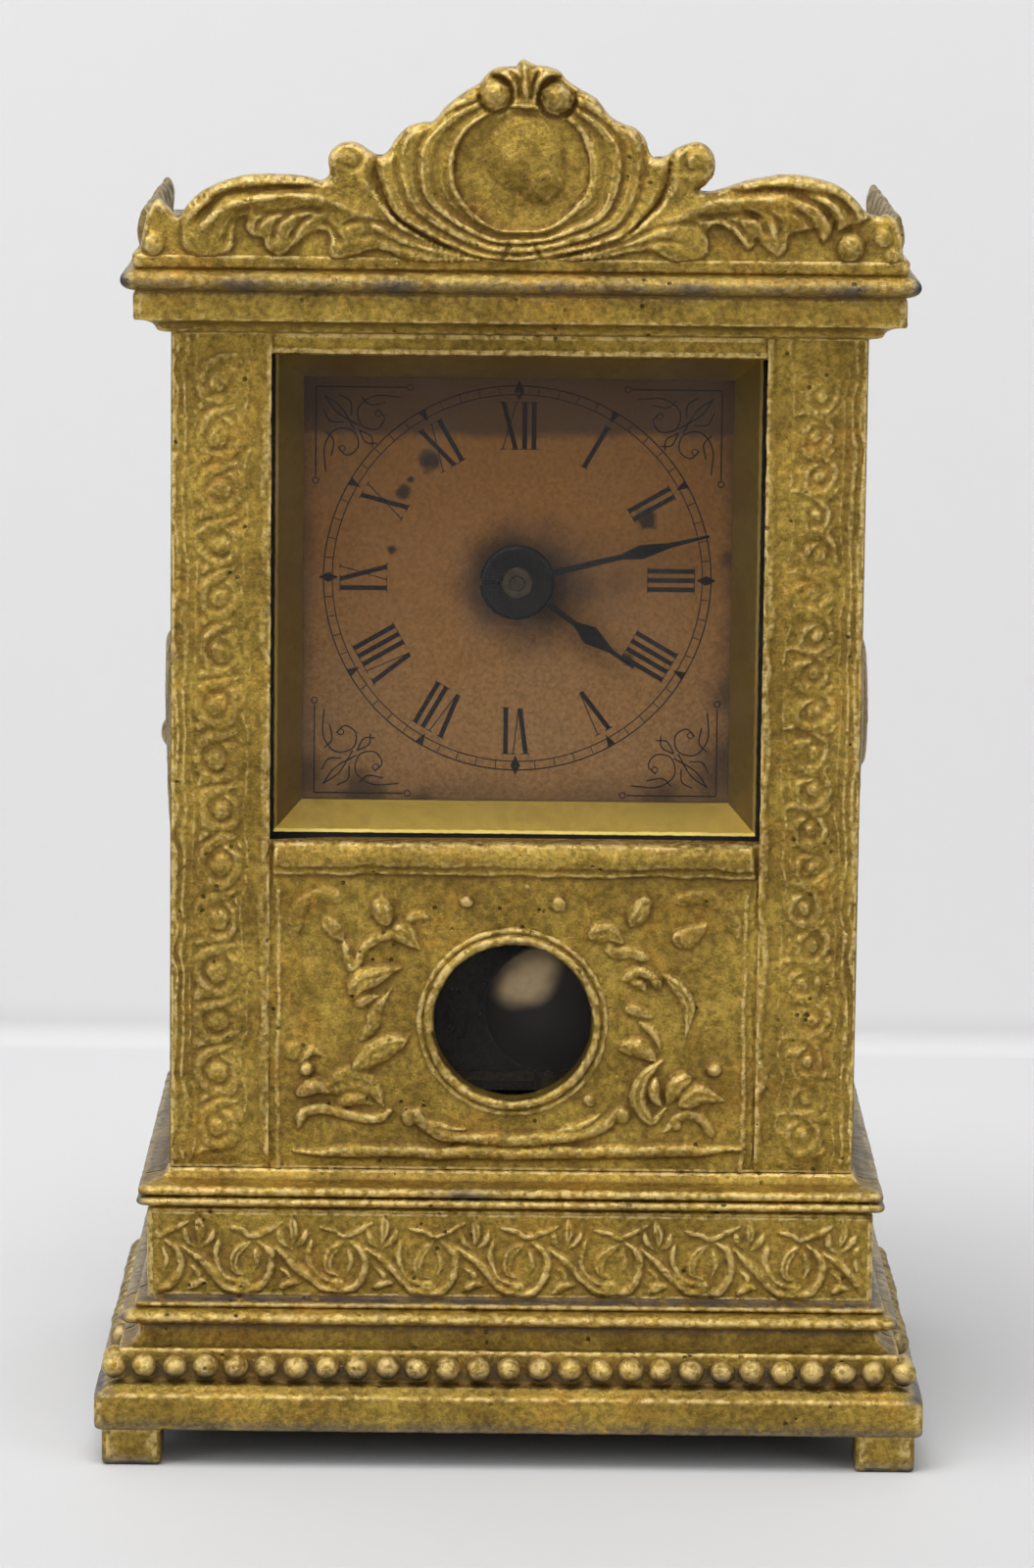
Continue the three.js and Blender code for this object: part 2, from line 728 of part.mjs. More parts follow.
// Two raised rings with a groove between them, round the window
function windowRim() {
  const inner = windowRadius;
  const outer = windowRadius + windowRimWidth;
  const middle = (inner + outer) / 2;
  return turned([
    [inner - sunk, panelFront + sunk],
    [inner - sunk, panelFront - windowRimRelief * 0.3],
    [inner + 0.25, panelFront - windowRimRelief],
    [middle, panelFront - windowRimRelief * 0.3],
    [outer - 0.35, panelFront - windowRimRelief * 0.7],
    [outer, panelFront + sunk],
    [inner - sunk, panelFront + sunk],
  ], centreX, windowHeight, windowSides);
}

// Low lobed gallery standing on each side of the case, from the crest to the back
function galleries() {
  const length = 2 * (halfDepth + ledgeOut - crestThickness);
  const shape = new THREE.Shape();
  shape.moveTo(-length / 2, caseTop - sunk);
  for (let i = 0; i < galleryLobes; i += 1) {
    const start = -length / 2 + length * i / galleryLobes;
    const end = start + length / galleryLobes;
    const notch = caseTop + galleryHeight * 0.7;
    shape.lineTo(start, notch);
    shape.quadraticCurveTo((start + end) / 2, caseTop + galleryHeight * 1.3, end, notch);
  }
  shape.lineTo(length / 2, caseTop - sunk);
  const outer = halfWidth + ledgeOut - galleryInset;
  const right = bar(shape, outer - galleryThickness, outer, 3);
  return [right, right.mirror([1, 0, 0])];
}

// Raised oval ornament with a scalloped edge on each side of the case
function sideOrnaments() {
  const outline = [];
  const steps = 24;
  for (let i = 0; i < steps; i += 1) {
    const angle = 2 * Math.PI * i / steps;
    const reach = 1 - 0.09 * Math.abs(Math.sin(4 * angle));
    const y = sideReliefHalfDepth * reach * Math.cos(angle);
    const z = sideReliefHeight + sideReliefHalfHeight * reach * Math.sin(angle);
    outline.push(new THREE.Vector2(y, z));
  }
  const field = bar(new THREE.Shape(outline), halfWidth - sunk, halfWidth + sideRelief * 0.6);
  const boss = new THREE.SphereGeometry(1, 8, 4);
  boss.scale(sideRelief, sideReliefHalfDepth * 0.6, sideReliefHalfHeight * 0.6);
  boss.translate(halfWidth + 0.2, 0, sideReliefHeight);
  const right = join(field, solid(boss));
  return [right, right.mirror([1, 0, 0])];
}

// The case is cast in four plates that meet in upright seams near the corners
const shell = join(caseShell(), ...galleries(), ...sideOrnaments());
const seamY = halfDepth - frontReturn;
const far = 100; // beyond the clock in every direction but up

function frontCasting() {
  const plate = shell.intersect(box(-far, far, -far, -seamY - seat / 2, -far, 2 * far));
  const ornament = [crest(), rail(), dialFrame(), windowRim(), pilaster(-1), pilaster(1)];
  const openings = [
    dialOpening(-far, -seamY),
    pin(windowRadius, -far, -seamY, centreX, windowHeight, windowSides),
  ];
  return cut(join(cut(join(plate, ...ornament), ...openings), ...frontBosses()), ...frontHoles());
}

const sides = [-1, 1];
const corners = (x, low, high) => sides.flatMap(side => [low, high].map(z => ({ x: side * x, z })));
const dialScrews = corners(dialScrewX, dialScrewLow, dialScrewHigh);
const bolts = corners(boltX, boltBottomZ, boltTopZ);
const boltInnerWall = z => -halfDepth + (z < bodyBottom ? wall - friezeOut : wall);
const coverScrewX = backOpeningHalfWidth + coverMargin / 2;
const coverScrewZ = (backOpeningBottom + backOpeningTop) / 2;
const coverScrews = sides.map(side => ({ x: side * coverScrewX, z: coverScrewZ }));
const boltOuterWall = z => halfDepth + (z < bodyBottom ? friezeOut : fasciaOut);

// Bosses behind the front casting for the dial screws and tie bolts, and ribs beside the glass
function frontBosses() {
  const inner = glassHalfWidth + seat;
  const ribTop = glassBottom + ribLength;
  const rib = box(inner, inner + ribWidth, panelBack - sunk, bezelFront - seat, glassBottom, ribTop);
  const boltBoss = ({ x, z }) => {
    const front = boltInnerWall(z);
    return pin(boltBossRadius, front - sunk, front + bossLength, x, z, 8);
  };
  return [
    ...dialScrews.map(({ x, z }) => pin(dialBossRadius, panelBack - sunk, dialPlateFront - seat, x, z, 8)),
    ...bolts.map(boltBoss),
    rib,
    rib.mirror([1, 0, 0]),
  ];
}

function frontHoles() {
  const screwHole = screwRadius + running;
  const boltHole = boltRadius + running;
  const screwBottom = dialPlateFront - seat - bossLength;
  return [
    ...dialScrews.map(({ x, z }) => pin(screwHole, screwBottom, dialPlateFront, x, z)),
    ...bolts.map(({ x, z }) => pin(boltHole, boltInnerWall(z), boltInnerWall(z) + bossLength + past, x, z)),
    topScrewHole(-1),
  ];
}

function sideCasting(side) {
  const half = side > 0 ? [0, far] : [-far, 0];
  return shell.intersect(box(...half, -seamY + seat / 2, seamY - seat / 2, -far, 2 * far));
}

function backCasting() {
  const plate = shell.intersect(box(-far, far, seamY + seat / 2, far, -far, 2 * far));
  return cut(
    plate,
    box(-backOpeningHalfWidth, backOpeningHalfWidth, 0, far, backOpeningBottom, backOpeningTop),
    ...bolts.map(({ x, z }) => pin(boltRadius + running, 0, far, x, z)),
    ...coverScrews.map(({ x, z }) => pin(screwRadius + running, 0, far, x, z)),
    topScrewHole(1),
  );
}

// Top plate, let into a rebate between the crest and the galleries
const topScrewY = halfDepth - wall + (wall + topPlateRebate) / 2;
const topPlateBottom = caseTop - sheet;

function topScrewHole(side) {
  return uprightRod(screwRadius + running, centreX, side * topScrewY, topPlateBottom - bossLength, far * 2);
}

function topPlate() {
  const reachX = halfWidth + topPlateRebate - seat;
  const reachY = halfDepth + topPlateRebate - seat;
  const plate = box(-reachX, reachX, -reachY, reachY, topPlateBottom, caseTop);
  return cut(plate, topScrewHole(-1), topScrewHole(1));
}

function topScrew(side) {
  const y = side * topScrewY;
  const bottom = topPlateBottom - bossLength + seat;
  const shank = uprightRod(screwRadius, centreX, y, bottom, caseTop + seat + sunk);
  const head = uprightRod(screwHead, centreX, y, caseTop + seat, caseTop + seat + screwHeadHeight);
  return join(shank, head);
}

// Back cover, over the opening in the back casting, with holes for the key and the setting knob
function backCover() {
  const reach = backOpeningHalfWidth + coverMargin;
  const holeAt = (radius, { x, z }) => pin(radius, coverFront - past, coverBack + past, x, z);
  return cut(
    box(-reach, reach, coverFront, coverBack, backOpeningBottom - coverMargin, backOpeningTop + coverMargin),
    holeAt(windingArborRadius + coverHoleRoom, barrelAt),
    holeAt(centreArborRadius + coverHoleRoom, centre),
    ...coverScrews.map(place => holeAt(screwRadius + running, place)),
  );
}

// Round-headed fasteners along the depth: the head is at the back
function fastener(radius, head, headHeight, yFront, yHead, { x, z }) {
  const profile = [[0, yFront], [radius, yFront], [radius, yHead], [head, yHead]];
  profile.push([head, yHead + headHeight], [0, yHead + headHeight]);
  return turned(profile, x, z, 8);
}

// A screw whose head stands just clear of the face that it holds
const screw = (yFront, face, place) => (
  fastener(screwRadius, screwHead, screwHeadHeight, yFront, face + seat, place)
);

// Brass bezel: a frame whose bevels slope in from the glass to the dial
function bezel() {
  const middleZ = (dialOpeningBottom + dialOpeningTop) / 2;
  const halfHeight = (dialOpeningTop - dialOpeningBottom) / 2;
  const outerX = halfOpening + bezelFlange;
  const outerZ = halfHeight + bezelFlange;
  const frame = box(-outerX, outerX, bezelFront, bezelFront + bezelDepth, middleZ - outerZ, middleZ + outerZ);
  const rise = bezelDepth - bezelLip;
  const slope = [[bezelBevel / 10, -rise / 10], [-bezelBevel, rise], [-bezelBevel, bezelDepth + past]];
  const funnel = mouldedBox(slope, halfOpening, halfHeight).rotate([-90, 0, 0]);
  return frame.subtract(funnel.translate([0, bezelFront, middleZ]));
}

function glassPane() {
  return box(-glassHalfWidth, glassHalfWidth, glassFront, glassFront + glassThickness, glassBottom, glassTop);
}

function dialPaper() {
  const hole = pin(hourPipeRadius + seat, paperFront - past, dialPlateFront, centreX, centreZ);
  return cut(dialOpening(paperFront, paperFront + paperThickness), hole);
}

const pillars = corners(pillarX, pillarLow, pillarHigh);

function dialPlate() {
  const plate = box(
    -dialPlateHalfWidth, dialPlateHalfWidth, dialPlateFront, dialPlateBack, dialPlateBottom, dialPlateTop,
  );
  const holeAt = (radius, { x, z }) => pin(radius, dialPlateFront - past, dialPlateBack + past, x, z);
  return cut(
    plate,
    holeAt(hourPipeRadius + seat, centre),
    ...dialScrews.map(place => holeAt(screwRadius + running, place)),
    ...pillars.map(place => holeAt(pillarTenon + running, place)),
  );
}

// Places in the plane of the dial
const away = ({ x, z }, angle, distance) => (
  { x: x + distance * Math.cos(angle), z: z + distance * Math.sin(angle) }
);
const outlineOf = places => new THREE.Shape(places.map(({ x, z }) => new THREE.Vector2(x, z)));

// Toothed wheels: straight-sided teeth with room between them, on the pitch circle of teeth times module
const pitchRadius = (teeth, module) => teeth * module / 2;
const toothTop = 0.8; // height of a tooth above the pitch circle, in modules
const toothRoot = 1.15; // depth of a gap below it
const leafTipShare = 0.11; // half widths of a pinion leaf at its tip and root, as shares of the pitch
const toothRootShare = 0.27;

// A wheel's teeth come to a point and a pinion's leaves have a flat tip
function toothedOutline(teeth, module, turn, place, tipShare = 0) {
  const tip = pitchRadius(teeth, module) + toothTop * module;
  const root = pitchRadius(teeth, module) - toothRoot * module;
  const pitch = 2 * Math.PI / teeth;
  const crown = tipShare > 0 ? [[tip, -tipShare], [tip, tipShare]] : [[tip, 0]];
  const outline = [];
  for (let i = 0; i < teeth; i += 1) {
    const middle = turn + i * pitch;
    for (const [radius, share] of [[root, -toothRootShare], ...crown, [root, toothRootShare]]) {
      outline.push(away(place, middle + share * pitch, radius));
    }
  }
  return outlineOf(outline);
}

function wheel(teeth, module, turn, place, yFront, bore, thickness = wheelThickness) {
  const shape = toothedOutline(teeth, module, turn, place);
  const rim = pitchRadius(teeth, module) - (toothRoot + wheelRim) * module;
  const hub = bore + wheelHub;
  if (rim > 2 * hub) shape.holes.push(...crossings(place, hub, rim, turn));
  const disk = plateOf(shape, yFront, yFront + thickness, 2);
  return cut(disk, pin(bore, yFront - past, yFront + thickness + past, place.x, place.z));
}

// Four windows cut out of a wheel, which leave its arms
function crossings({ x, z }, hub, rim, turn) {
  return Array.from({ length: 4 }, (_, i) => {
    const middle = turn + (i + 0.5) * Math.PI / 2;
    const innerReach = Math.PI / 4 - Math.asin(wheelArm / hub);
    const outerReach = Math.PI / 4 - Math.asin(wheelArm / rim);
    const window = new THREE.Path();
    window.absarc(x, z, rim, middle - outerReach, middle + outerReach, false);
    window.absarc(x, z, hub, middle + innerReach, middle - innerReach, true);
    return window;
  });
}

const pinion = (teeth, module, turn, place, yFront, yBack) => (
  plateOf(toothedOutline(teeth, module, turn, place, leafTipShare), yFront, yBack)
);

// The point at given distances from two others, on the right of the line from the first to the second
function meetingPoint(a, distanceA, b, distanceB) {
  const apart = Math.hypot(b.x - a.x, b.z - a.z);
  const along = (distanceA ** 2 - distanceB ** 2 + apart ** 2) / (2 * apart);
  const angle = Math.atan2(b.z - a.z, b.x - a.x) - Math.acos(along / distanceA);
  return away(a, angle, distanceA);
}

// The turn that puts a gap of the driven wheel where a tooth of its driver stands on the line of centres
function inMesh(driver, driverTeeth, driverTurn, driven, drivenTeeth) {
  const line = Math.atan2(driven.z - driver.z, driven.x - driver.x);
  const phase = (line - driverTurn) * driverTeeth / (2 * Math.PI);
  return line + Math.PI - (0.5 - phase) * 2 * Math.PI / drivenTeeth;
}

// Arbors of the train
const centre = { x: centreX, z: centreZ };
const stud = { x: pendulumX, z: pendulumTop };
const escapeAt = { x: pendulumX, z: pendulumTop - escapeDrop };
const barrelDistance = pitchRadius(barrelTeeth + centrePinionTeeth, barrelModule);
const barrelAt = away(centre, barrelAngle, barrelDistance);
const fourthAt = away(escapeAt, fourthAngle, pitchRadius(fourthWheelTeeth + escapePinionTeeth, fourthModule));
const thirdAt = meetingPoint(
  centre, pitchRadius(centreWheelTeeth + thirdPinionTeeth, centreModule),
  fourthAt, pitchRadius(thirdWheelTeeth + fourthPinionTeeth, thirdModule),
);
const minuteStudAt = away(centre, minuteStudAngle, pitchRadius(cannonTeeth + minuteWheelTeeth, cannonModule));

const fourthTurn = inMesh(escapeAt, escapePinionTeeth, 0, fourthAt, fourthWheelTeeth);
const thirdTurn = inMesh(fourthAt, fourthPinionTeeth, fourthTurn, thirdAt, thirdWheelTeeth);
const centreTurn = inMesh(thirdAt, thirdPinionTeeth, thirdTurn, centre, centreWheelTeeth);
const barrelTurn = inMesh(centre, centrePinionTeeth, centreTurn, barrelAt, barrelTeeth);
const minuteTurn = inMesh(centre, cannonTeeth, 0, minuteStudAt, minuteWheelTeeth);
const hourTurn = inMesh(minuteStudAt, minutePinionTeeth, minuteTurn, centre, hourWheelTeeth);

// Where the wheels of the train lie between the plates
const barrelGearFront = frontPlateBack + barrelRoom;
const barrelGearBack = barrelGearFront + barrelGearThickness;
const drumBack = barrelGearBack + drumLength;
const escapePinionFront = frontPlateBack + escapePinionRoom;
const fourthWheelFront = frontPlateBack + fourthWheelRoom;
const thirdWheelFront = frontPlateBack + thirdWheelRoom;
const centreWheelFront = backPlateFront - centreWheelRoom;

// Where the escapement and the pendulum lie before the front plate
const escapeBack = frontPlateFront - escapeRoom;
const escapeFront = escapeBack - vergeThickness;
const crutchBack = escapeFront - seat;
const crutchFront = crutchBack - crutchThickness;
const eyeBack = crutchFront - eyeGap;
const eyeFront = eyeBack - eyeThickness;
const rodY = (eyeFront + eyeBack) / 2;

// Where the winding parts lie behind the back plate
const ratchetFront = backPlateBack + seat;
const windingArborBody = windingArborRadius + windingShoulder;
const keyFront = coverBack + keyGap;

// An arbor with a pivot in each plate
function arbor({ x, z }, radius = arborRadius, pivot = pivotRadius) {
  const shoulderFront = frontPlateBack + seat;
  const shoulderBack = backPlateFront - seat;
  return turned([
    [0, frontPlateFront], [pivot, frontPlateFront], [pivot, shoulderFront], [radius, shoulderFront],
    [radius, shoulderBack], [pivot, shoulderBack], [pivot, backPlateBack], [0, backPlateBack],
  ], x, z);
}

function escapeArbor() {
  const { x, z } = escapeAt;
  const back = fourthWheelFront + wheelThickness + leafOverhang;
  const leaves = pinion(escapePinionTeeth, fourthModule, 0, escapeAt, escapePinionFront, back);
  return join(arbor(escapeAt), leaves, pin(pivotRadius, escapeFront - seat, frontPlateBack, x, z));
}

function escapeWheel() {
  const outline = [];
  const pitch = 2 * Math.PI / escapeTeeth;
  for (let i = 0; i < escapeTeeth; i += 1) {
    for (const [radius, share] of [[escapeRadius, 0], [escapeRadius - escapeTooth, 0.12]]) {
      outline.push(away(escapeAt, (i + share) * pitch, radius));
    }
  }
  const shape = outlineOf(outline);
  shape.holes.push(...crossings(escapeAt, pivotRadius + wheelHub, escapeRadius - 2 * escapeTooth, 0));
  const disk = plateOf(shape, escapeFront, escapeBack, 2);
  return cut(disk, pin(pivotRadius + running, escapeFront - past, escapeBack + past, escapeAt.x, escapeAt.z));
}

const fourthWheel = () => (
  wheel(fourthWheelTeeth, fourthModule, fourthTurn, fourthAt, fourthWheelFront, arborRadius + running)
);

function fourthArbor() {
  const leaves = pinion(
    fourthPinionTeeth, thirdModule, fourthTurn, fourthAt,
    thirdWheelFront - leafOverhang, thirdWheelFront + wheelThickness + leafOverhang,
  );
  return join(arbor(fourthAt), leaves);
}

const thirdWheel = () => (
  wheel(thirdWheelTeeth, thirdModule, thirdTurn, thirdAt, thirdWheelFront, arborRadius + running)
);

function thirdArbor() {
  const leaves = pinion(
    thirdPinionTeeth, centreModule, thirdTurn, thirdAt,
    centreWheelFront - leafOverhang, centreWheelFront + wheelThickness + leafOverhang / 2,
  );
  return join(arbor(thirdAt), leaves);
}

// The centre pinion and its sleeve turn on the centre arbor by friction, so that the hands can be set
function centrePinion() {
  const { x, z } = centre;
  const front = frontPlateBack + seat;
  const back = barrelGearBack + leafOverhang / 2;
  const leaves = pinion(centrePinionTeeth, barrelModule, centreTurn, centre, front, back);
  const sleeve = pin(sleeveRadius, front, backPlateFront - seat, x, z);
  return cut(join(leaves, sleeve), pin(centreArborRadius + running, front - past, backPlateFront, x, z));
}

const centreWheel = () => (
  wheel(centreWheelTeeth, centreModule, centreTurn, centre, centreWheelFront, sleeveRadius + running)
);

// Going barrel with its teeth at the front, its cover at the back and the spring coiled inside
function barrel() {
  const { x, z } = barrelAt;
  const outline = toothedOutline(barrelTeeth, barrelModule, barrelTurn, barrelAt);
  const teeth = plateOf(outline, barrelGearFront, barrelGearBack);
  const drum = tube(drumRadius, drumRadius - drumWall, barrelGearBack - sunk, drumBack, x, z);
  return cut(join(teeth, drum), pin(windingArborBody + running, barrelGearFront - past, drumBack, x, z));
}

function barrelCover() {
  const { x, z } = barrelAt;
  const outer = drumRadius - drumWall - 2 * running;
  return tube(outer, windingArborBody + running, drumBack - sheet, drumBack, x, z);
}

function mainspring() {
  const inner = windingArborBody + seat + springThickness;
  const outer = drumRadius - drumWall - seat - springThickness;
  const steps = springTurns * springSteps;
  const spiral = offset => Array.from({ length: steps + 1 }, (_, i) => {
    const radius = inner + (outer - inner) * i / steps + offset;
    return away(barrelAt, 2 * Math.PI * springTurns * i / steps, radius);
  });
  const ribbon = outlineOf([...spiral(springThickness / 2), ...spiral(-springThickness / 2).reverse()]);
  return plateOf(ribbon, barrelGearBack + seat, drumBack - sheet - seat);
}

// The winding arbor runs from the front plate out through the back cover to the key
function windingArbor() {
  const { x, z } = barrelAt;
  const back = keyFront + keyLength - keyCap - seat;
  return turned([
    [0, frontPlateFront], [barrelPivotRadius, frontPlateFront], [barrelPivotRadius, frontPlateBack + seat],
    [windingArborBody, frontPlateBack + seat], [windingArborBody, backPlateFront - seat],
    [windingArborRadius, backPlateFront - seat], [windingArborRadius, back], [0, back],
  ], x, z);
}

function windingKey() {
  const { x, z } = barrelAt;
  const hub = pin(keyHub, keyFront, keyFront + keyLength, x, z);
  const wing = new THREE.Shape();
  const high = keyFront + keyLength;
  const low = high - keyWingHeight;
  const corner = (high - low) / 2;
  wing.moveTo(x - keyHalfWidth + corner, low);
  wing.lineTo(x + keyHalfWidth - corner, low);
  wing.absarc(x + keyHalfWidth - corner, low + corner, corner, -Math.PI / 2, Math.PI / 2, false);
  wing.lineTo(x - keyHalfWidth + corner, high);
  wing.absarc(x - keyHalfWidth + corner, low + corner, corner, Math.PI / 2, 3 * Math.PI / 2, false);
  const depth = keyThickness;
  const geometry = new THREE.ExtrudeGeometry(wing, { depth, bevelEnabled: false, curveSegments: 4 });
  geometry.translate(0, 0, z - keyThickness / 2);
  const bore = pin(windingArborRadius + running, keyFront - past, high - keyCap, x, z);
  return cut(join(hub, solid(geometry)), bore);
}

function ratchetOutline() {
  const outline = [];
  const pitch = 2 * Math.PI / ratchetTeeth;
  for (let i = 0; i < ratchetTeeth; i += 1) {
    for (const [radius, share] of [[ratchetRadius - ratchetDepth, -0.08], [ratchetRadius, 0]]) {
      outline.push(away(barrelAt, (i + share) * pitch, radius));
    }
  }
  return outlineOf(outline);
}

function ratchetWheel() {
  const { x, z } = barrelAt;
  const back = ratchetFront + wheelThickness;
  const disk = plateOf(ratchetOutline(), ratchetFront, back);
  return cut(disk, pin(windingArborRadius + running, ratchetFront - past, back + past, x, z));
}

// The click turns on a shouldered screw and points against the way the ratchet may not turn
const clickAt = away(barrelAt, clickAngle, clickDistance);
const clickTip = away(barrelAt, clickAngle + clickReach, ratchetRadius + clickTipGap);

function click() {
  const { x, z } = clickAt;
  const along = Math.atan2(clickTip.z - z, clickTip.x - x);
  const near = away(clickAt, along + Math.PI / 2, clickRadius);
  const farSide = away(clickAt, along - Math.PI / 2, clickRadius * 0.4);
  const back = ratchetFront + wheelThickness;
  const finger = plateOf(outlineOf([near, clickTip, farSide]), ratchetFront, back);
  return cut(
    join(pin(clickRadius, ratchetFront, back, x, z), finger),
    pin(screwRadius + running, ratchetFront - past, back + past, x, z),
  );
}

// A straight wire spring on a post lies beside the click's finger, clear of it by the click's lift
const springPost = away(barrelAt, clickAngle + clickReach + springPostReach, ratchetRadius + springPostRoom);

function clickSpring() {
  const finger = Math.atan2(clickTip.z - clickAt.z, clickTip.x - clickAt.x);
  const middle = { x: (clickAt.x + clickTip.x) / 2, z: (clickAt.z + clickTip.z) / 2 };
  const end = away(middle, finger - Math.PI / 2, clickRadius * 0.2 + springWire / 2 + clickSpringGap);
  const side = Math.atan2(end.z - springPost.z, end.x - springPost.x) + Math.PI / 2;
  const wire = [
    away(springPost, side, springWire / 2), away(end, side, springWire / 2),
    away(end, side, -springWire / 2), away(springPost, side, -springWire / 2),
  ];
  const back = ratchetFront + wheelThickness;
  const { x, z } = springPost;
  return join(
    pin(pivotRadius, backPlateFront + seat, back, x, z),
    pin(pivotRadius * 2, ratchetFront, back, x, z),
    plateOf(outlineOf(wire), ratchetFront, ratchetFront + wheelThickness / 2),
  );
}

// Two brass plates with a hole for every pivot, pillar and screw
function movementPlate(yFront, holes) {
  const shape = new THREE.Shape();
  const corners = [[1, -1, -90], [1, 1, 0], [-1, 1, 90], [-1, -1, 180]];
  for (const [sx, sz, degrees] of corners) {
    const x = sx * (plateHalfWidth - plateCorner);
    const z = sz > 0 ? plateTop - plateCorner : plateBottom + plateCorner;
    const start = THREE.MathUtils.degToRad(degrees);
    shape.absarc(x, z, plateCorner, start, start + Math.PI / 2, false);
  }
  const yBack = yFront + plateThickness;
  const plate = plateOf(shape, yFront, yBack, 2);
  return cut(plate, ...holes.map(([radius, { x, z }]) => pin(radius, yFront - past, yBack + past, x, z)));
}

function movementFrontPlate() {
  return movementPlate(frontPlateFront, [
    ...[escapeAt, fourthAt, thirdAt].map(place => [pivotRadius + running, place]),
    [centreArborRadius + running, centre],
    [barrelPivotRadius + running, barrelAt],
    ...[stud, minuteStudAt].map(place => [studTenon + running, place]),
    ...pillars.map(place => [pillarTenon + running, place]),
  ]);
}

function movementBackPlate() {
  return movementPlate(backPlateFront, [
    ...[escapeAt, fourthAt, thirdAt].map(place => [pivotRadius + running, place]),
    [centreArborRadius + running, centre],
    [windingArborRadius + running, barrelAt],
    [screwRadius + running, clickAt],
    [pivotRadius + running, springPost],
    ...pillars.map(place => [pillarTenon + running, place]),
  ]);
}

// Pillars run from the dial plate through the front plate to the back plate, with a shoulder at each
function pillar({ x, z }) {
  const back = backPlateBack + pillarRivet;
  return turned([
    [0, dialPlateFront + seat], [pillarTenon, dialPlateFront + seat], [pillarTenon, dialPlateBack + seat],
    [pillarRadius, dialPlateBack + seat], [pillarRadius, frontPlateFront - seat],
    [pillarTenon, frontPlateFront - seat], [pillarTenon, frontPlateBack + seat],
    [pillarRadius, frontPlateBack + seat], [pillarRadius, backPlateFront - seat],
    [pillarTenon, backPlateFront - seat], [pillarTenon, back], [0, back],
  ], x, z, pillarSides);
}

// Motion work
const hourWheelFront = dialPlateBack + seat;
const minuteWheelFront = hourWheelFront + wheelThickness + motionWheelGap;
const minuteWheelBack = minuteWheelFront + wheelThickness;
const hourHandFront = paperFront - handClearance;
const minuteHandFront = hourHandFront - seat - handThickness;
const washerBack = minuteHandFront - washerGap;
const washerFront = washerBack - washerThickness;
const cannonGroove = cannonPipeRadius - cannonGrooveDepth;
const cannonFront = washerFront - cannonNose;

function minuteWheelStud() {
  const { x, z } = minuteStudAt;
  return turned([
    [0, hourWheelFront], [studRadius, hourWheelFront], [studRadius, frontPlateFront - seat],
    [studTenon, frontPlateFront - seat], [studTenon, frontPlateBack], [0, frontPlateBack],
  ], x, z);
}

function minuteWheel() {
  const { x, z } = minuteStudAt;
  const outline = toothedOutline(minuteWheelTeeth, cannonModule, minuteTurn, minuteStudAt);
  const teeth = plateOf(outline, minuteWheelFront, minuteWheelBack);
  const leavesBack = minuteWheelFront + wheelThickness / 2;
  const leaves = pinion(minutePinionTeeth, hourModule, minuteTurn, minuteStudAt, hourWheelFront, leavesBack);
  const bore = pin(studRadius + running, hourWheelFront - past, minuteWheelBack + past, x, z);
  return cut(join(teeth, leaves), bore);
}

function cannonPinion() {
  const { x, z } = centre;
  const back = minuteWheelBack + seat;
  const leaves = pinion(cannonTeeth, cannonModule, 0, centre, minuteWheelFront - washerGap, back);
  const pipe = turned([
    [0, cannonFront], [cannonPipeRadius - cannonChamfer, cannonFront],
    [cannonPipeRadius, cannonFront + cannonChamfer],
    [cannonPipeRadius, washerFront - running], [cannonGroove, washerFront - running],
    [cannonGroove, washerBack + running], [cannonPipeRadius, washerBack + running],
    [cannonPipeRadius, minuteWheelBack], [0, minuteWheelBack],
  ], x, z);
  return cut(join(leaves, pipe), pin(centreArborRadius + running, cannonFront - past, back + past, x, z));
}

function hourWheel() {
  const { x, z } = centre;
  const back = hourWheelFront + wheelThickness;
  const disk = plateOf(toothedOutline(hourWheelTeeth, hourModule, hourTurn, centre), hourWheelFront, back);
  const pipe = pin(hourPipeRadius, hourHandFront, hourWheelFront + wheelThickness / 2, x, z);
  const bore = pin(cannonPipeRadius + 1.5 * running, hourHandFront - past, back + past, x, z);
  return cut(join(disk, pipe), bore);
}

// A hand lies flat: a hub, a fine stem and a spade near its point, drawn toward twelve and then turned
function hand(length, spadeStart, spadeEnd, spadeWidth, hub, bore, yFront, angleDegrees) {
  const widest = spadeStart + (spadeEnd - spadeStart) * 0.42;
  const right = [
    [handStem * 1.6, 0], [handStem, spadeStart], [spadeWidth / 2, widest], [handStem, spadeEnd],
    [handStem / 2, length],
  ];
  const left = right.map(([x, z]) => [-x, z]).reverse();
  const outline = new THREE.Shape([...right, ...left].map(([x, z]) => new THREE.Vector2(x, z)));
  const flat = join(
    plateOf(outline, 0, handThickness),
    pin(hub, 0, handThickness, 0, 0),
  ).subtract(pin(bore, -past, past, 0, 0));
  return flat.rotate([0, angleDegrees, 0]).translate([centreX, yFront, centreZ]);
}

const minuteHand = () => hand(
  minuteHandLength, minuteSpadeStart, minuteSpadeEnd, minuteSpadeWidth,
  cannonPipeRadius + handHub, cannonPipeRadius + running, minuteHandFront, minuteHandAngle,
);

const hourHand = () => hand(
  hourHandLength, hourSpadeStart, hourSpadeEnd, hourSpadeWidth,
  hourPipeRadius + handHub, hourPipeRadius + running, hourHandFront, hourHandAngle,
);

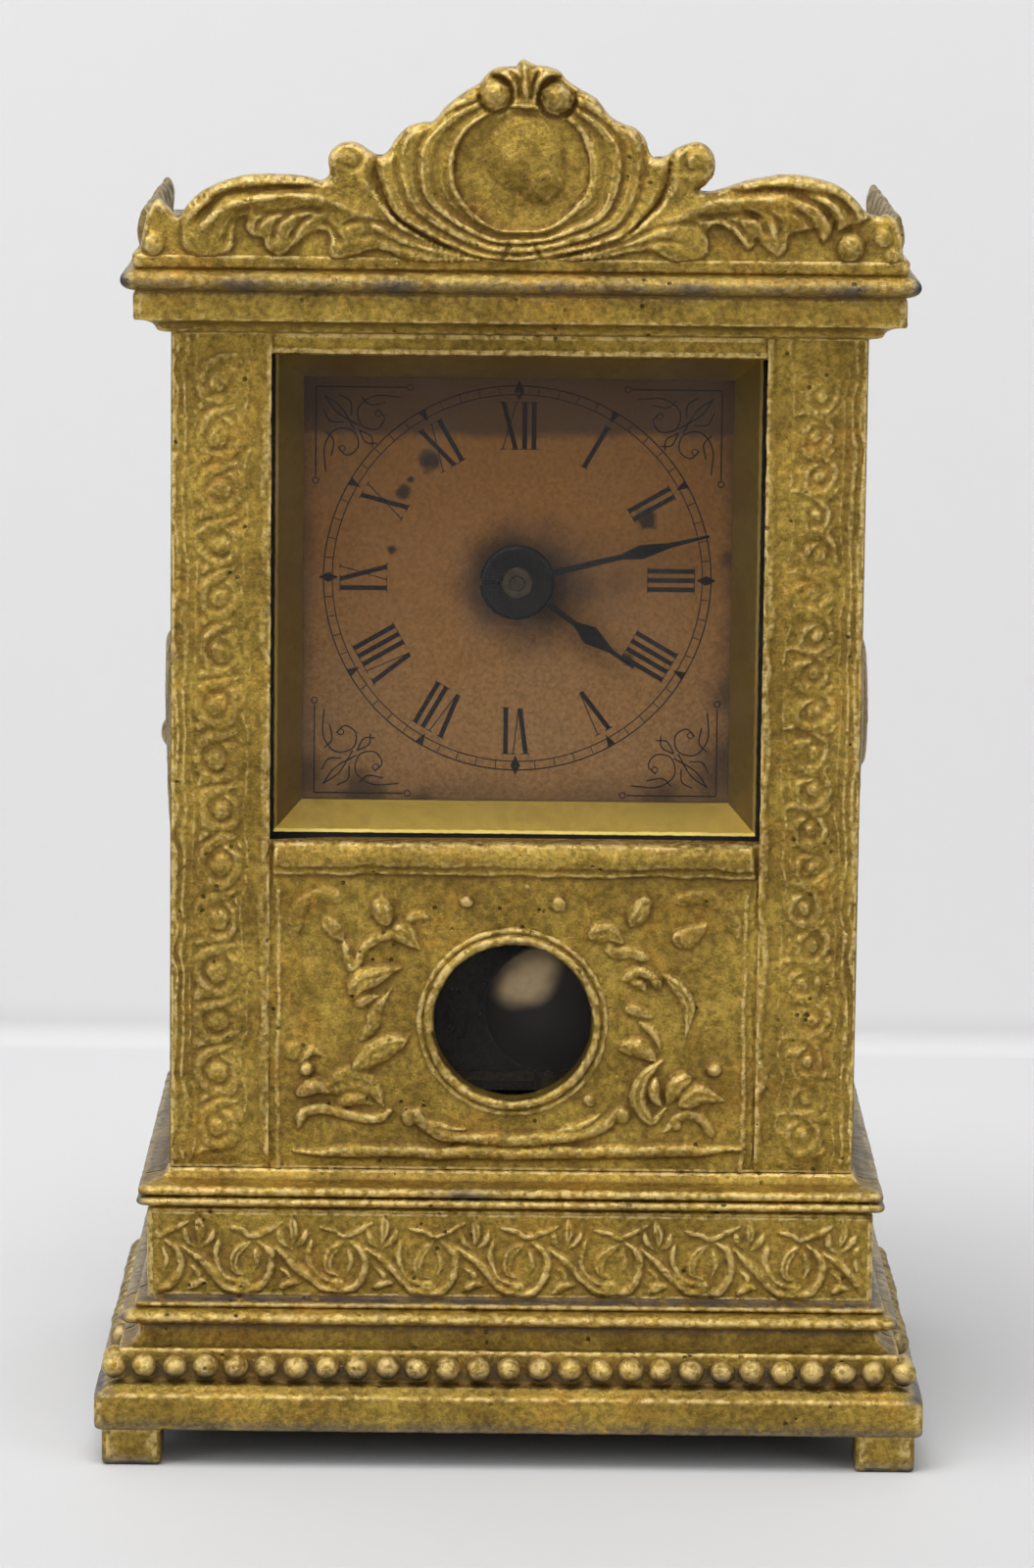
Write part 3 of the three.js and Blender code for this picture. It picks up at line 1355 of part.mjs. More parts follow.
// Slotted washer that slides into the groove of the cannon pipe and keeps the hands on
function handWasher() {
  const { x, z } = centre;
  const disk = turned([
    [0, washerFront], [washerRadius * 0.9, washerFront], [washerRadius, washerFront + washerThickness / 2],
    [washerRadius, washerBack], [0, washerBack],
  ], x, z);
  const bore = pin(cannonGroove + running, washerFront - past, washerBack + past, x, z);
  const slot = box(x - far, x, washerFront - past, washerBack + past, z - washerSlot / 2, z + washerSlot / 2);
  return cut(disk, bore, slot);
}

// The centre arbor carries the cannon pinion in front and the setting knob behind
const arborFront = cannonFront - cannonChamfer;
const knobBack = keyFront + knobDiskThickness;

function centreArbor() {
  return pin(centreArborRadius, arborFront, knobBack - keyCap, centreX, centreZ);
}

function settingKnob() {
  const outline = [];
  for (let i = 0; i < 2 * knobNotches; i += 1) {
    outline.push(away(centre, Math.PI * i / knobNotches, knobDiskRadius - (i % 2) * knobNotchDepth));
  }
  const diskFront = keyFront + knobHubLength;
  const disk = plateOf(outlineOf(outline), diskFront, knobBack);
  const hub = pin(knobDiskRadius * 0.55, keyFront, diskFront + sunk, centreX, centreZ);
  const bore = pin(centreArborRadius + running, keyFront - past, knobBack - keyCap + seat, centreX, centreZ);
  return cut(join(disk, hub), bore);
}

// Escapement and pendulum, from the front plate forward
function vergeStud() {
  const headBack = eyeFront - seat;
  const headFront = headBack - studHead;
  return turned([
    [0, headFront], [studRadius * 2, headFront], [studRadius * 2, headBack],
    [studRadius, headBack], [studRadius, frontPlateFront - seat], [studTenon, frontPlateFront - seat],
    [studTenon, frontPlateBack], [0, frontPlateBack],
  ], stud.x, stud.z);
}

// Bent steel strip with a pallet at each end, kept just clear of the wheel's teeth at the end of a swing
function verge() {
  const palletAngle = Math.acos(escapeRadius / escapeDrop);
  const palletArm = escapeRadius * Math.tan(palletAngle);
  const tip = escapeRadius + palletArm * swing + palletGap;
  const tipX = tip * Math.sin(palletAngle);
  const tipZ = tip * Math.cos(palletAngle) - escapeDrop;
  const arm = vergeStrip;
  const right = [
    [0, arm], [arm, arm], [tipX + vergeStrip, tipZ + vergeStrip / 2], [tipX, tipZ], [tipX, tipZ + vergeStrip],
    [arm, -arm], [0, -arm],
  ];
  const left = right.slice(1, -1).map(([x, z]) => [-x, z]).reverse();
  const outline = [...right, ...left].map(([x, z]) => ({ x: stud.x + x, z: stud.z + z }));
  const strip = plateOf(outlineOf(outline), escapeFront, escapeBack);
  const hub = pin(studRadius + vergeStrip, crutchFront, frontPlateFront - seat, stud.x, stud.z);
  const bore = pin(studRadius + running, crutchFront - past, frontPlateFront, stud.x, stud.z);
  return cut(join(strip, hub, ...crutch()), bore);
}

// The crutch hangs from the verge and holds the pendulum rod in a fork
function crutch() {
  const { x, z } = stud;
  const forkLow = z - crutchLength;
  const forkHigh = forkLow + forkLength;
  const inner = rodRadius + forkRoom;
  const outer = inner + forkTine;
  return [
    box(x - crutchWidth / 2, x + crutchWidth / 2, crutchFront, crutchBack, forkHigh - sunk, z),
    box(x - outer, x + outer, crutchFront, crutchBack, forkLow, forkHigh),
    box(x - outer, x - inner, rodY - rodRadius, crutchBack, forkLow, forkHigh),
    box(x + inner, x + outer, rodY - rodRadius, crutchBack, forkLow, forkHigh),
  ];
}

function pendulumRod() {
  const eye = tube(studRadius + eyeWidth, studRadius + running, eyeFront, eyeBack, stud.x, stud.z);
  const bottom = bobCentreZ - bobRadius - seat - nutLength - rodTail;
  return join(eye, uprightRod(rodRadius, stud.x, rodY, bottom, stud.z - studRadius - eyeWidth / 2));
}

function pendulumBob() {
  const half = bobThickness / 2;
  const disk = turned([
    [0, rodY - half], [bobRadius * 0.78, rodY - half], [bobRadius, rodY - half * 0.35],
    [bobRadius, rodY + half * 0.35], [bobRadius * 0.78, rodY + half], [0, rodY + half],
  ], stud.x, bobCentreZ);
  return cut(disk, uprightRod(rodRadius + running, stud.x, rodY, 0, pendulumTop));
}

function ratingNut() {
  const top = bobCentreZ - bobRadius - seat;
  const nut = uprightRod(nutRadius, stud.x, rodY, top - nutLength, top, 12);
  return cut(nut, uprightRod(rodRadius + running, stud.x, rodY, 0, pendulumTop));
}

// Assembly: the case
add('front_casting', frontCasting(), goldPaint);
add('left_side_casting', sideCasting(-1), goldPaint);
add('right_side_casting', sideCasting(1), goldPaint);
add('back_casting', backCasting(), goldPaint);
add('top_plate', topPlate(), tin);
add('back_cover', backCover(), tin);
bolts.forEach((place, i) => {
  const front = boltInnerWall(place.z) + seat;
  const head = boltOuterWall(place.z) + seat;
  add(`tie_bolt_${i + 1}`, fastener(boltRadius, boltHead, boltHeadHeight, front, head, place), steel);
});
coverScrews.forEach((place, i) => {
  add(`cover_screw_${i + 1}`, screw(coverFront - wall, coverBack, place), steel);
});
sides.forEach((side, i) => add(`top_screw_${i + 1}`, topScrew(side), steel));

// Assembly: glass and dial
add('glass', glassPane(), glassFinish);
add('bezel', bezel(), brass);
add('dial_paper', dialPaper(), paper);
add('dial_plate', dialPlate(), tin);
dialScrews.forEach((place, i) => {
  add(`dial_screw_${i + 1}`, screw(dialPlateFront - bossLength, dialPlateBack, place), steel);
});

// Assembly: movement frame
add('movement_front_plate', movementFrontPlate(), brass);
add('movement_back_plate', movementBackPlate(), brass);
pillars.forEach((place, i) => add(`pillar_${i + 1}`, pillar(place), brass));
add('verge_stud', vergeStud(), steel);
add('minute_wheel_stud', minuteWheelStud(), steel);
add('click_screw', screw(backPlateFront + seat, ratchetFront + wheelThickness, clickAt), steel);
add('click_spring', clickSpring(), steel);

// Assembly: hands and motion work
add('centre_arbor', centreArbor(), darkBrass);
add('cannon_pinion', cannonPinion(), darkBrass);
add('minute_hand', minuteHand(), bluedSteel);
add('hand_washer', handWasher(), bluedSteel);
add('setting_knob', settingKnob(), brass);
add('minute_wheel', minuteWheel(), brass);
add('hour_wheel', hourWheel(), brass);
add('hour_hand', hourHand(), bluedSteel);

// Assembly: going train
add('barrel', barrel(), brass);
add('barrel_cover', barrelCover(), brass);
add('mainspring', mainspring(), steel);
add('centre_wheel', centreWheel(), brass);
add('centre_pinion', centrePinion(), steel);
add('third_wheel', thirdWheel(), brass);
add('third_arbor', thirdArbor(), steel);
add('fourth_wheel', fourthWheel(), brass);
add('fourth_arbor', fourthArbor(), steel);
add('escape_arbor', escapeArbor(), steel);
add('escape_wheel', escapeWheel(), brass);

// Assembly: winding
add('winding_arbor', windingArbor(), steel);
add('ratchet_wheel', ratchetWheel(), steel);
add('click', click(), steel);
add('winding_key', windingKey(), brass);

// Assembly: verge and pendulum
add('verge', verge(), steel);
add('pendulum_rod', pendulumRod(), steel);
add('pendulum_bob', pendulumBob(), nickel);
add('rating_nut', ratingNut(), brass);

export default group;
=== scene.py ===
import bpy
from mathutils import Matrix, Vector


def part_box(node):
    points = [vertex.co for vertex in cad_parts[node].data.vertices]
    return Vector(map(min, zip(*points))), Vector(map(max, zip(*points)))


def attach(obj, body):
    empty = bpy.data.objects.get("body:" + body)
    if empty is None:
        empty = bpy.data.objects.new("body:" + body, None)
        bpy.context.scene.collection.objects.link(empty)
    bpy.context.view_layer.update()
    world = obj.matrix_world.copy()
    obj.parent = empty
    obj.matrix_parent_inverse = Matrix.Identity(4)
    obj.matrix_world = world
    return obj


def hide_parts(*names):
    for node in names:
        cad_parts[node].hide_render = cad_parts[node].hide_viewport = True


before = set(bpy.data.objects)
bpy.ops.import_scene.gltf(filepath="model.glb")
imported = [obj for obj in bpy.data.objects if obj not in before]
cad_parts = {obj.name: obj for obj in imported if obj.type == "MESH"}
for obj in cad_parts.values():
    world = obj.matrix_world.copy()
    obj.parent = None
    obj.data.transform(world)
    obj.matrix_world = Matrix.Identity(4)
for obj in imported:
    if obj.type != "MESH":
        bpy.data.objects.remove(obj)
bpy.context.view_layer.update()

import math

import bmesh
import bpy
import numpy as np
from mathutils import Matrix, Vector

# Base of the front casting
# The front of the case is one iron casting. Its foot is a moulded base: a flat plinth, a hollow,
# a half-round, a plain frieze band and a ring, all turned round the corners on to the sides.
MM = 0.001
HALF_WIDTH = 31.0
HALF_DEPTH = 22.25
WALL = 2.2
RETURN_Y = -19.65
PLINTH_OUT, PLINTH_BOTTOM, PLINTH_TOP = 6.5, 3.3, 6.9
BEAD_SEAT_OUT, COVE_BOTTOM, COVE_TOP, COVE_OUT = 4.4, 10.3, 12.0, 2.6
TORUS_OUT, TORUS_Z, TORUS_R = 4.2, 13.4, 0.9
FRIEZE_OUT, FRIEZE_BOTTOM, FRIEZE_TOP = 1.9, 14.8, 22.9
WAIST_OUT, WAIST_Z, WAIST_R = 2.9, 24.2, 1.0
BODY_BOTTOM, BODY_TOP = 26.5, 102.3
BEAD_SEAT_Z = 8.7


def fade(gap, over):
    """From 0 to 1 as the gap grows from 0 to over."""
    return np.clip(gap / over, 0, 1)


def bell(gap, width):
    """1 where the gap is 0, falling smoothly away to both sides."""
    return np.exp(-(gap / width) ** 2)


def mound(gap, half):
    """A round back, 1 in the middle and 0 from half on."""
    return np.clip(1 - (gap / half) ** 2, 0, 1)


def half_round(base_out, peak_out, height, radius, steps=14):
    """Profile points of a half-round moulding, from its lower edge to its upper edge."""
    angles = np.linspace(-math.pi / 2, math.pi / 2, steps)
    return [(base_out + (peak_out - base_out) * math.cos(a), height + radius * math.sin(a)) for a in angles]


def hollow(low_out, low_z, high_out, high_z, steps=10):
    """Profile points of a hollow that curves in and then up."""
    angles = np.linspace(0, math.pi / 2, steps)
    return [(low_out + (high_out - low_out) * math.sin(a), high_z - (high_z - low_z) * math.cos(a))
            for a in angles]


def spread(points, step):
    """The same profile with a point about every step millimetres."""
    points = np.array(points, float)
    gaps = np.linalg.norm(np.diff(points, axis=0), axis=1)
    along = np.concatenate([[0], np.cumsum(gaps)])
    want = np.linspace(0, along[-1], max(2, int(round(along[-1] / step)) + 1))
    return np.stack([np.interp(want, along, points[:, i]) for i in range(2)], 1)


def spots(points, seed):
    """Smooth random values from -1 to 1 at points given in grid units."""
    table = np.random.RandomState(seed).rand(32, 32, 32) * 2 - 1
    cell = np.floor(points).astype(int)
    part = points - cell
    part = part * part * (3 - 2 * part)
    total = np.zeros(len(points))
    for corner in range(8):
        step = np.array([corner & 1, corner >> 1 & 1, corner >> 2 & 1])
        share = np.prod(np.where(step, part, 1 - part), axis=1)
        at = (cell + step) % 32
        total += share * table[at[:, 0], at[:, 1], at[:, 2]]
    return total


def neighbour_mean(values, edges, degree):
    """The mean of each vertex's neighbours."""
    out = np.empty_like(values)
    for i in range(3):
        sums = np.bincount(edges[:, 0], values[edges[:, 1], i], len(values))
        sums += np.bincount(edges[:, 1], values[edges[:, 0], i], len(values))
        out[:, i] = sums / degree
    return out


def store(mesh, name, values):
    """A value for each point of a mesh, for its material to read."""
    mesh.attributes.new(name, "FLOAT", "POINT").data.foreach_set("value", values.astype(np.float32))


def cast_skin(mesh, soften, lumps, seed, fine=6, broad=28):
    """Rounds a fine mesh's edges like poured iron and roughens it; stores how proud each point stands."""
    count = len(mesh.vertices)
    points = np.empty(count * 3)
    mesh.vertices.foreach_get("co", points)
    points = points.reshape(-1, 3)
    edges = np.empty(len(mesh.edges) * 2, int)
    mesh.edges.foreach_get("vertices", edges)
    edges = edges.reshape(-1, 2)
    degree = np.maximum(np.bincount(edges.ravel(), minlength=count), 1)
    for _ in range(soften):
        points = 0.5 * points + 0.5 * neighbour_mean(points, edges, degree)
    mesh.vertices.foreach_set("co", points.ravel())
    mesh.update()
    normals = np.array([n.vector for n in mesh.vertex_normals])
    swell = 0.5 * spots(points / MM / 1.6, seed) + 0.4 * spots(points / MM / 0.7, seed + 1)
    swell += 0.4 * spots(points / MM / 0.33, seed + 2)
    points = points + normals * (swell * lumps * MM)[:, None]
    mesh.vertices.foreach_set("co", points.ravel())
    mesh.update()
    normals = np.array([n.vector for n in mesh.vertex_normals])
    # The broad hollow value stands in for shade in hollows and the fine edge value for highlights; the
    # paint turns them into painted shade and painted highlights.
    calm = points
    for i in range(broad):
        calm = 0.5 * calm + 0.5 * neighbour_mean(calm, edges, degree)
        if i == fine - 1:
            store(mesh, "edge", ((points - calm) * normals).sum(1) / MM)
    store(mesh, "hollow", ((points - calm) * normals).sum(1) / MM)


def fine_sheet(across, up, place):
    """A bmesh grid of squares whose 0-to-1 coordinates are placed in millimetres by place(u, v)."""
    bm = bmesh.new()
    bmesh.ops.create_grid(bm, x_segments=across, y_segments=up, size=0.5)
    flat = np.array([v.co for v in bm.verts])
    placed = place(flat[:, 0] + 0.5, flat[:, 1] + 0.5)
    for vert, point in zip(bm.verts, placed * MM):
        vert.co = point
    return bm


def close_back(bm, back, axis=1, rows=1):
    """Runs the open edges of a relief back to a flat plane, in rows, and closes it there."""
    rim = [edge for edge in bm.edges if edge.is_boundary]
    for row in range(rows):
        grown = bmesh.ops.extrude_edge_only(bm, edges=rim)["geom"]
        for vert in grown:
            if isinstance(vert, bmesh.types.BMVert):
                vert.co[axis] += (back * MM - vert.co[axis]) / (rows - row)
        rim = [edge for edge in grown if isinstance(edge, bmesh.types.BMEdge) and edge.is_boundary]
    bmesh.ops.triangle_fill(bm, edges=rim, use_beauty=False)


def inner_faces(bm):
    """The faces that look into the case."""
    found = []
    for face in bm.faces:
        centre = face.calc_center_median()
        over_x, over_y = abs(centre.x) / HALF_WIDTH, abs(centre.y) / HALF_DEPTH
        if over_x > over_y:
            outward = face.normal.x * math.copysign(1, centre.x)
        else:
            outward = face.normal.y * math.copysign(1, centre.y)
        if outward < -0.5:
            found.append(face)
    return found


def put(name, bm, material, body="case", slot=None, replaces=(), soften=0, lumps=0.0, seed=1, sharp=50,
        inside=None):
    """Makes a bmesh into a finished piece that rides on a body."""
    bmesh.ops.recalc_face_normals(bm, faces=bm.faces)
    if inside is not None:
        for face in inner_faces(bm):
            face.material_index = 1
    mesh = bpy.data.meshes.new(name)
    bm.to_mesh(mesh)
    bm.free()
    if soften or lumps:
        cast_skin(mesh, soften, lumps, seed)
    mesh.shade_smooth()
    mesh.set_sharp_from_angle(angle=math.radians(sharp))
    mesh.materials.append(material)
    if inside is not None:
        mesh.materials.append(inside)
    piece = place_object(name, mesh)
    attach(piece, body)
    if replaces:
        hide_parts(*replaces)
    return piece


def node_group(name, inputs, outputs):
    """An empty shader group with named inputs and outputs."""
    group = bpy.data.node_groups.new(name, "ShaderNodeTree")
    for label, kind, value in inputs:
        socket = group.interface.new_socket(name=label, in_out="INPUT", socket_type="NodeSocket" + kind)
        socket.default_value = value
    for label, kind in outputs:
        group.interface.new_socket(name=label, in_out="OUTPUT", socket_type="NodeSocket" + kind)
    return group, group.nodes.new("NodeGroupInput"), group.nodes.new("NodeGroupOutput")


def add_node(tree, kind, **values):
    """A shader node with its properties and unlinked inputs set."""
    node = tree.nodes.new("ShaderNode" + kind)
    for key, value in values.items():
        if hasattr(node, key):
            setattr(node, key, value)
        else:
            node.inputs[key.replace("_", " ")].default_value = value
    return node


def from_object(tree, socket):
    """Feeds a socket with the place on the object, in metres."""
    tree.links.new(add_node(tree, "TexCoord").outputs["Object"], socket)


def noise(tree, scale, detail=4.0, roughness=0.6):
    """Object-space noise, its scale given as the size of its features in millimetres."""
    texture = add_node(tree, "TexNoise", Scale=1000.0 / scale, Detail=detail, Roughness=roughness)
    from_object(tree, texture.inputs["Vector"])
    return texture.outputs["Fac"]


def ramp(tree, value, low, high, to_low=0.0, to_high=1.0):
    """The value moved from one range to another, smoothly and held at the ends."""
    node = add_node(tree, "MapRange", interpolation_type="SMOOTHSTEP")
    for socket, number in zip(list(node.inputs)[1:5], (low, high, to_low, to_high)):
        socket.default_value = number
    tree.links.new(value, node.inputs[0])
    return node.outputs[0]


def calc(tree, operation, first, second):
    """One arithmetic step on sockets or numbers."""
    node = add_node(tree, "Math", operation=operation)
    for socket, value in zip(node.inputs, (first, second)):
        if isinstance(value, (int, float)):
            socket.default_value = value
        else:
            tree.links.new(value, socket)
    return node.outputs[0]


def times(tree, first, second):
    """Two values multiplied."""
    return calc(tree, "MULTIPLY", first, second)


def plus(tree, first, second):
    """Two values added."""
    return calc(tree, "ADD", first, second)


def axes(tree, kind="Object"):
    """The separate X, Y and Z of a coordinate, in metres."""
    where = add_node(tree, "TexCoord")
    parts = add_node(tree, "SeparateXYZ")
    tree.links.new(where.outputs[kind], parts.inputs[0])
    return parts.outputs


def blend_colour(tree, share, first, second, mode="MIX"):
    """Two colours mixed by a share; each is a socket or a colour."""
    node = tree.nodes.new("ShaderNodeMix")
    node.data_type = "RGBA"
    node.blend_type = mode
    for index, value in ((0, share), (6, first), (7, second)):
        if isinstance(value, bpy.types.NodeSocket):
            tree.links.new(value, node.inputs[index])
        else:
            node.inputs[index].default_value = value if index == 0 else (*value[:3], 1)
    return node.outputs[2]


def grey(tree, value):
    """A colour with the same value in each channel."""
    shade = add_node(tree, "CombineColor")
    for channel in shade.inputs:
        tree.links.new(value, channel)
    return shade.outputs[0]


def attribute(tree, name):
    """A value stored on the mesh."""
    return add_node(tree, "Attribute", attribute_name=name).outputs["Fac"]


def paint_group():
    """Gold bronze paint on a rough casting: mottled, with painted shade in hollows and painted highlights
    on proud edges, worn bare in places.
    """
    group, given, result = node_group(
        "gold_bronze_paint",
        [("Paint", "Color", (0.4, 0.28, 0.08, 1)), ("Shade", "Color", (0.2, 0.13, 0.03, 1)),
         ("HollowShade", "Color", (0.15, 0.07, 0.02, 1)), ("Glint", "Color", (0.8, 0.6, 0.25, 1)),
         ("Rust", "Color", (0.36, 0.19, 0.03, 1)), ("Iron", "Color", (0.05, 0.055, 0.07, 1)),
         ("Wear", "Float", 0.5)],
        [("Color", "Color"), ("Roughness", "Float"), ("Metallic", "Float"), ("Height", "Float")])
    link = group.links.new
    mottle = ramp(group, noise(group, 5.0, 6.0, 0.65), 0.36, 0.66)
    colour = blend_colour(group, mottle, given.outputs["Shade"], given.outputs["Paint"])
    warm = times(group, ramp(group, noise(group, 7.5, 6.0, 0.7), 0.5, 0.66), 0.5)
    colour = blend_colour(group, warm, colour, given.outputs["Rust"])
    fine = noise(group, 0.55, 5.0, 0.7)
    grain = ramp(group, fine, 0.3, 0.72, 0.55, 1.35)
    colour = blend_colour(group, 1.0, colour, grey(group, grain), "MULTIPLY")
    # Painted shade: hollows, found from the stored hollow value, are painted with the darker hollow colour.
    hollow_shade = ramp(group, attribute(group, "hollow"), -0.2, 0.02, 0.75, 0.0)
    colour = blend_colour(group, hollow_shade, colour, given.outputs["HollowShade"])
    # Painted highlight: proud edges are painted with the Glint colour, where the paint is also rubbed
    # brighter.
    proud = ramp(group, attribute(group, "edge"), 0.004, 0.045)
    proud = times(group, proud, ramp(group, noise(group, 0.8, 3.0), 0.35, 0.6))
    colour = blend_colour(group, times(group, proud, 0.6), colour, given.outputs["Glint"])
    pits = add_node(group, "TexVoronoi", Scale=1000.0 / 1.4, Randomness=1.0)
    from_object(group, pits.inputs["Vector"])
    pit = times(group, ramp(group, pits.outputs["Distance"], 0.1, 0.17, 1.0, 0.0),
                ramp(group, noise(group, 6.0), 0.5, 0.62))
    colour = blend_colour(group, times(group, pit, 0.8), colour, (0.02, 0.013, 0.006))
    rubbed = times(group, attribute(group, "bare"), ramp(group, noise(group, 1.6, 5.0, 0.7), 0.34, 0.5))
    rubbed = times(group, rubbed, given.outputs["Wear"])
    colour = blend_colour(group, rubbed, colour, given.outputs["Iron"])
    link(colour, result.inputs["Color"])
    link(plus(group, ramp(group, noise(group, 1.2), 0.3, 0.7, 0.26, 0.44), times(group, hollow_shade, 0.15)),
         result.inputs["Roughness"])
    link(calc(group, "SUBTRACT", 0.88, times(group, hollow_shade, 0.35)), result.inputs["Metallic"])
    flakes = noise(group, 0.16, 3.0, 0.7)
    link(plus(group, times(group, flakes, 0.5), calc(group, "SUBTRACT", fine, pit)),
         result.inputs["Height"])
    return group


def new_material(name, roughness=None, specular=None):
    """A material with its node tree and its shader."""
    material = bpy.data.materials.new(name)
    material.use_nodes = True
    shader = material.node_tree.nodes["Principled BSDF"]
    if roughness is not None:
        shader.inputs["Roughness"].default_value = roughness
    if specular is not None:
        shader.inputs["Specular IOR Level"].default_value = specular
    return material, material.node_tree, shader


def place_object(name, data):
    """An object in the scene."""
    made = bpy.data.objects.new(name, data)
    bpy.context.scene.collection.objects.link(made)
    return made


def bump_up(tree, shader, height, distance):
    """Bump on a shader, its depth in millimetres."""
    node = add_node(tree, "Bump", Distance=distance * MM, Strength=1.0)
    tree.links.new(height, node.inputs["Height"])
    tree.links.new(node.outputs["Normal"], shader.inputs["Normal"])


def finish_material(name, group, values, bump=0.03, **constants):
    """A material whose colour, roughness, metal and bump come from a group."""
    material, tree, shader = new_material(name)
    block = tree.nodes.new("ShaderNodeGroup")
    block.node_tree = group
    for label, value in values.items():
        block.inputs[label].default_value = (*value, 1) if isinstance(value, tuple) else value
    for label, socket in (("Color", "Base Color"), ("Roughness", "Roughness"), ("Metallic", "Metallic")):
        if label in block.outputs:
            tree.links.new(block.outputs[label], shader.inputs[socket])
    if "Height" in block.outputs:
        bump_up(tree, shader, block.outputs["Height"], bump)
    for label, value in constants.items():
        shader.inputs[label.replace("_", " ")].default_value = value
    return material


PAINT = paint_group()


def paint(name, wear, bump, *colours):
    """A painted or bare casting; the colours are those of PAINT_PARTS, in order."""
    return finish_material(name, PAINT, {**dict(zip(PAINT_PARTS, colours)), "Wear": wear}, bump=bump)


PAINT_PARTS = ("Paint", "Shade", "HollowShade", "Glint", "Rust", "Iron")
# Each paint's third colour is painted shade for its hollows and its fourth a painted highlight for its
# proud edges.
GOLD = paint("gold_paint_front", 1.0, 0.16, (0.4, 0.27, 0.05), (0.235, 0.15, 0.027), (0.135, 0.057, 0.011),
             (0.85, 0.64, 0.27), (0.42, 0.225, 0.035), (0.05, 0.055, 0.075))
# The sides and back take a darker, greyer copy of the front's paint.
SIDE_GOLD = paint("gold_paint_sides", 1.0, 0.1, (0.27, 0.195, 0.07), (0.14, 0.105, 0.05),
                  (0.08, 0.045, 0.02), (0.5, 0.38, 0.17), (0.2, 0.115, 0.04), (0.07, 0.065, 0.07))
DARK_IRON = paint("bare_iron_inside", 0.0, 0.04, (0.035, 0.03, 0.026), (0.018, 0.016, 0.015),
                  (0.012, 0.01, 0.009), (0.06, 0.055, 0.05), (0.04, 0.026, 0.018), (0.03, 0.03, 0.03))


def cast_piece(name, bm, node, paint, **how):
    """A piece of one of the four painted castings."""
    return put(name, bm, paint, slot="case_gold", replaces=[node], **how)


base_outside = [
    (PLINTH_OUT - 0.35, PLINTH_BOTTOM), (PLINTH_OUT, PLINTH_BOTTOM + 0.4),
    (PLINTH_OUT, PLINTH_TOP - 0.25), (PLINTH_OUT - 0.3, PLINTH_TOP), (PLINTH_OUT - 0.6, PLINTH_TOP + 0.15),
    (BEAD_SEAT_OUT + 1.1, PLINTH_TOP + 0.5), (BEAD_SEAT_OUT, PLINTH_TOP + 0.75),
    (BEAD_SEAT_OUT, COVE_BOTTOM), (BEAD_SEAT_OUT - 0.1, COVE_BOTTOM + 0.25),
    *hollow(BEAD_SEAT_OUT - 0.3, COVE_BOTTOM + 0.25, COVE_OUT, COVE_TOP),
    *half_round(COVE_OUT, TORUS_OUT, TORUS_Z - 0.15, TORUS_R - 0.15),
    *half_round(FRIEZE_OUT + 0.75, FRIEZE_OUT + 1.15, TORUS_Z + TORUS_R - 0.02, 0.28, 8),
    (FRIEZE_OUT, FRIEZE_BOTTOM), (FRIEZE_OUT, FRIEZE_TOP),
    *half_round(FRIEZE_OUT - 0.4, WAIST_OUT, WAIST_Z - 0.45, WAIST_R - 0.45, 9),
    *half_round(FRIEZE_OUT + 0.1, WAIST_OUT - 0.12, WAIST_Z + 0.5, WAIST_R - 0.5, 9),
    (0.6, WAIST_Z + WAIST_R + 0.3), (0, BODY_BOTTOM),
]
base_inside = [
    (-WALL, BODY_BOTTOM), (FRIEZE_OUT - WALL, FRIEZE_TOP), (FRIEZE_OUT - WALL, COVE_TOP),
    (PLINTH_OUT - WALL, PLINTH_BOTTOM + WALL), (PLINTH_OUT - WALL, PLINTH_BOTTOM),
]


def sealed(bm):
    """A rolled-up sheet with its seam joined and its ends closed."""
    bmesh.ops.remove_doubles(bm, verts=bm.verts, dist=1e-7)
    bmesh.ops.holes_fill(bm, edges=[edge for edge in bm.edges if edge.is_boundary], sides=0)
    return bm


def round_corner(profile, run, step, path):
    """A closed moulding profile run along a path and capped at both ends."""
    section = np.concatenate([profile, profile[:1]])

    def place(u, v):
        row = np.rint(v * (len(section) - 1)).astype(int)
        return path(u, section[row, 0], section[row, 1])

    bm = fine_sheet(int(run / step), len(section) - 1, place)
    return sealed(bm)


def front_path(u, out, z):
    """Across the front, with a short return on to each side."""
    x_end, y_end = HALF_WIDTH + out, -HALF_DEPTH - out
    share = 0.045
    left, right = fade(u, share), fade(1 - u, share)
    middle = np.clip((u - share) / (1 - 2 * share), 0, 1)
    y = np.where(u < share, RETURN_Y + (y_end - RETURN_Y) * left,
                 np.where(u > 1 - share, RETURN_Y + (y_end - RETURN_Y) * right, y_end))
    return np.stack([-x_end + 2 * x_end * middle, y, z], 1)


def rubbed_ends(piece, strength):
    """Marks where the paint is rubbed through: strength(x, y, z) in millimetres gives 0 to 1."""
    mesh = piece.data
    points = np.empty(len(mesh.vertices) * 3)
    mesh.vertices.foreach_get("co", points)
    x, y, z = points.reshape(-1, 3).T / MM
    store(mesh, "bare", np.clip(strength(x, y, z), 0, 1))


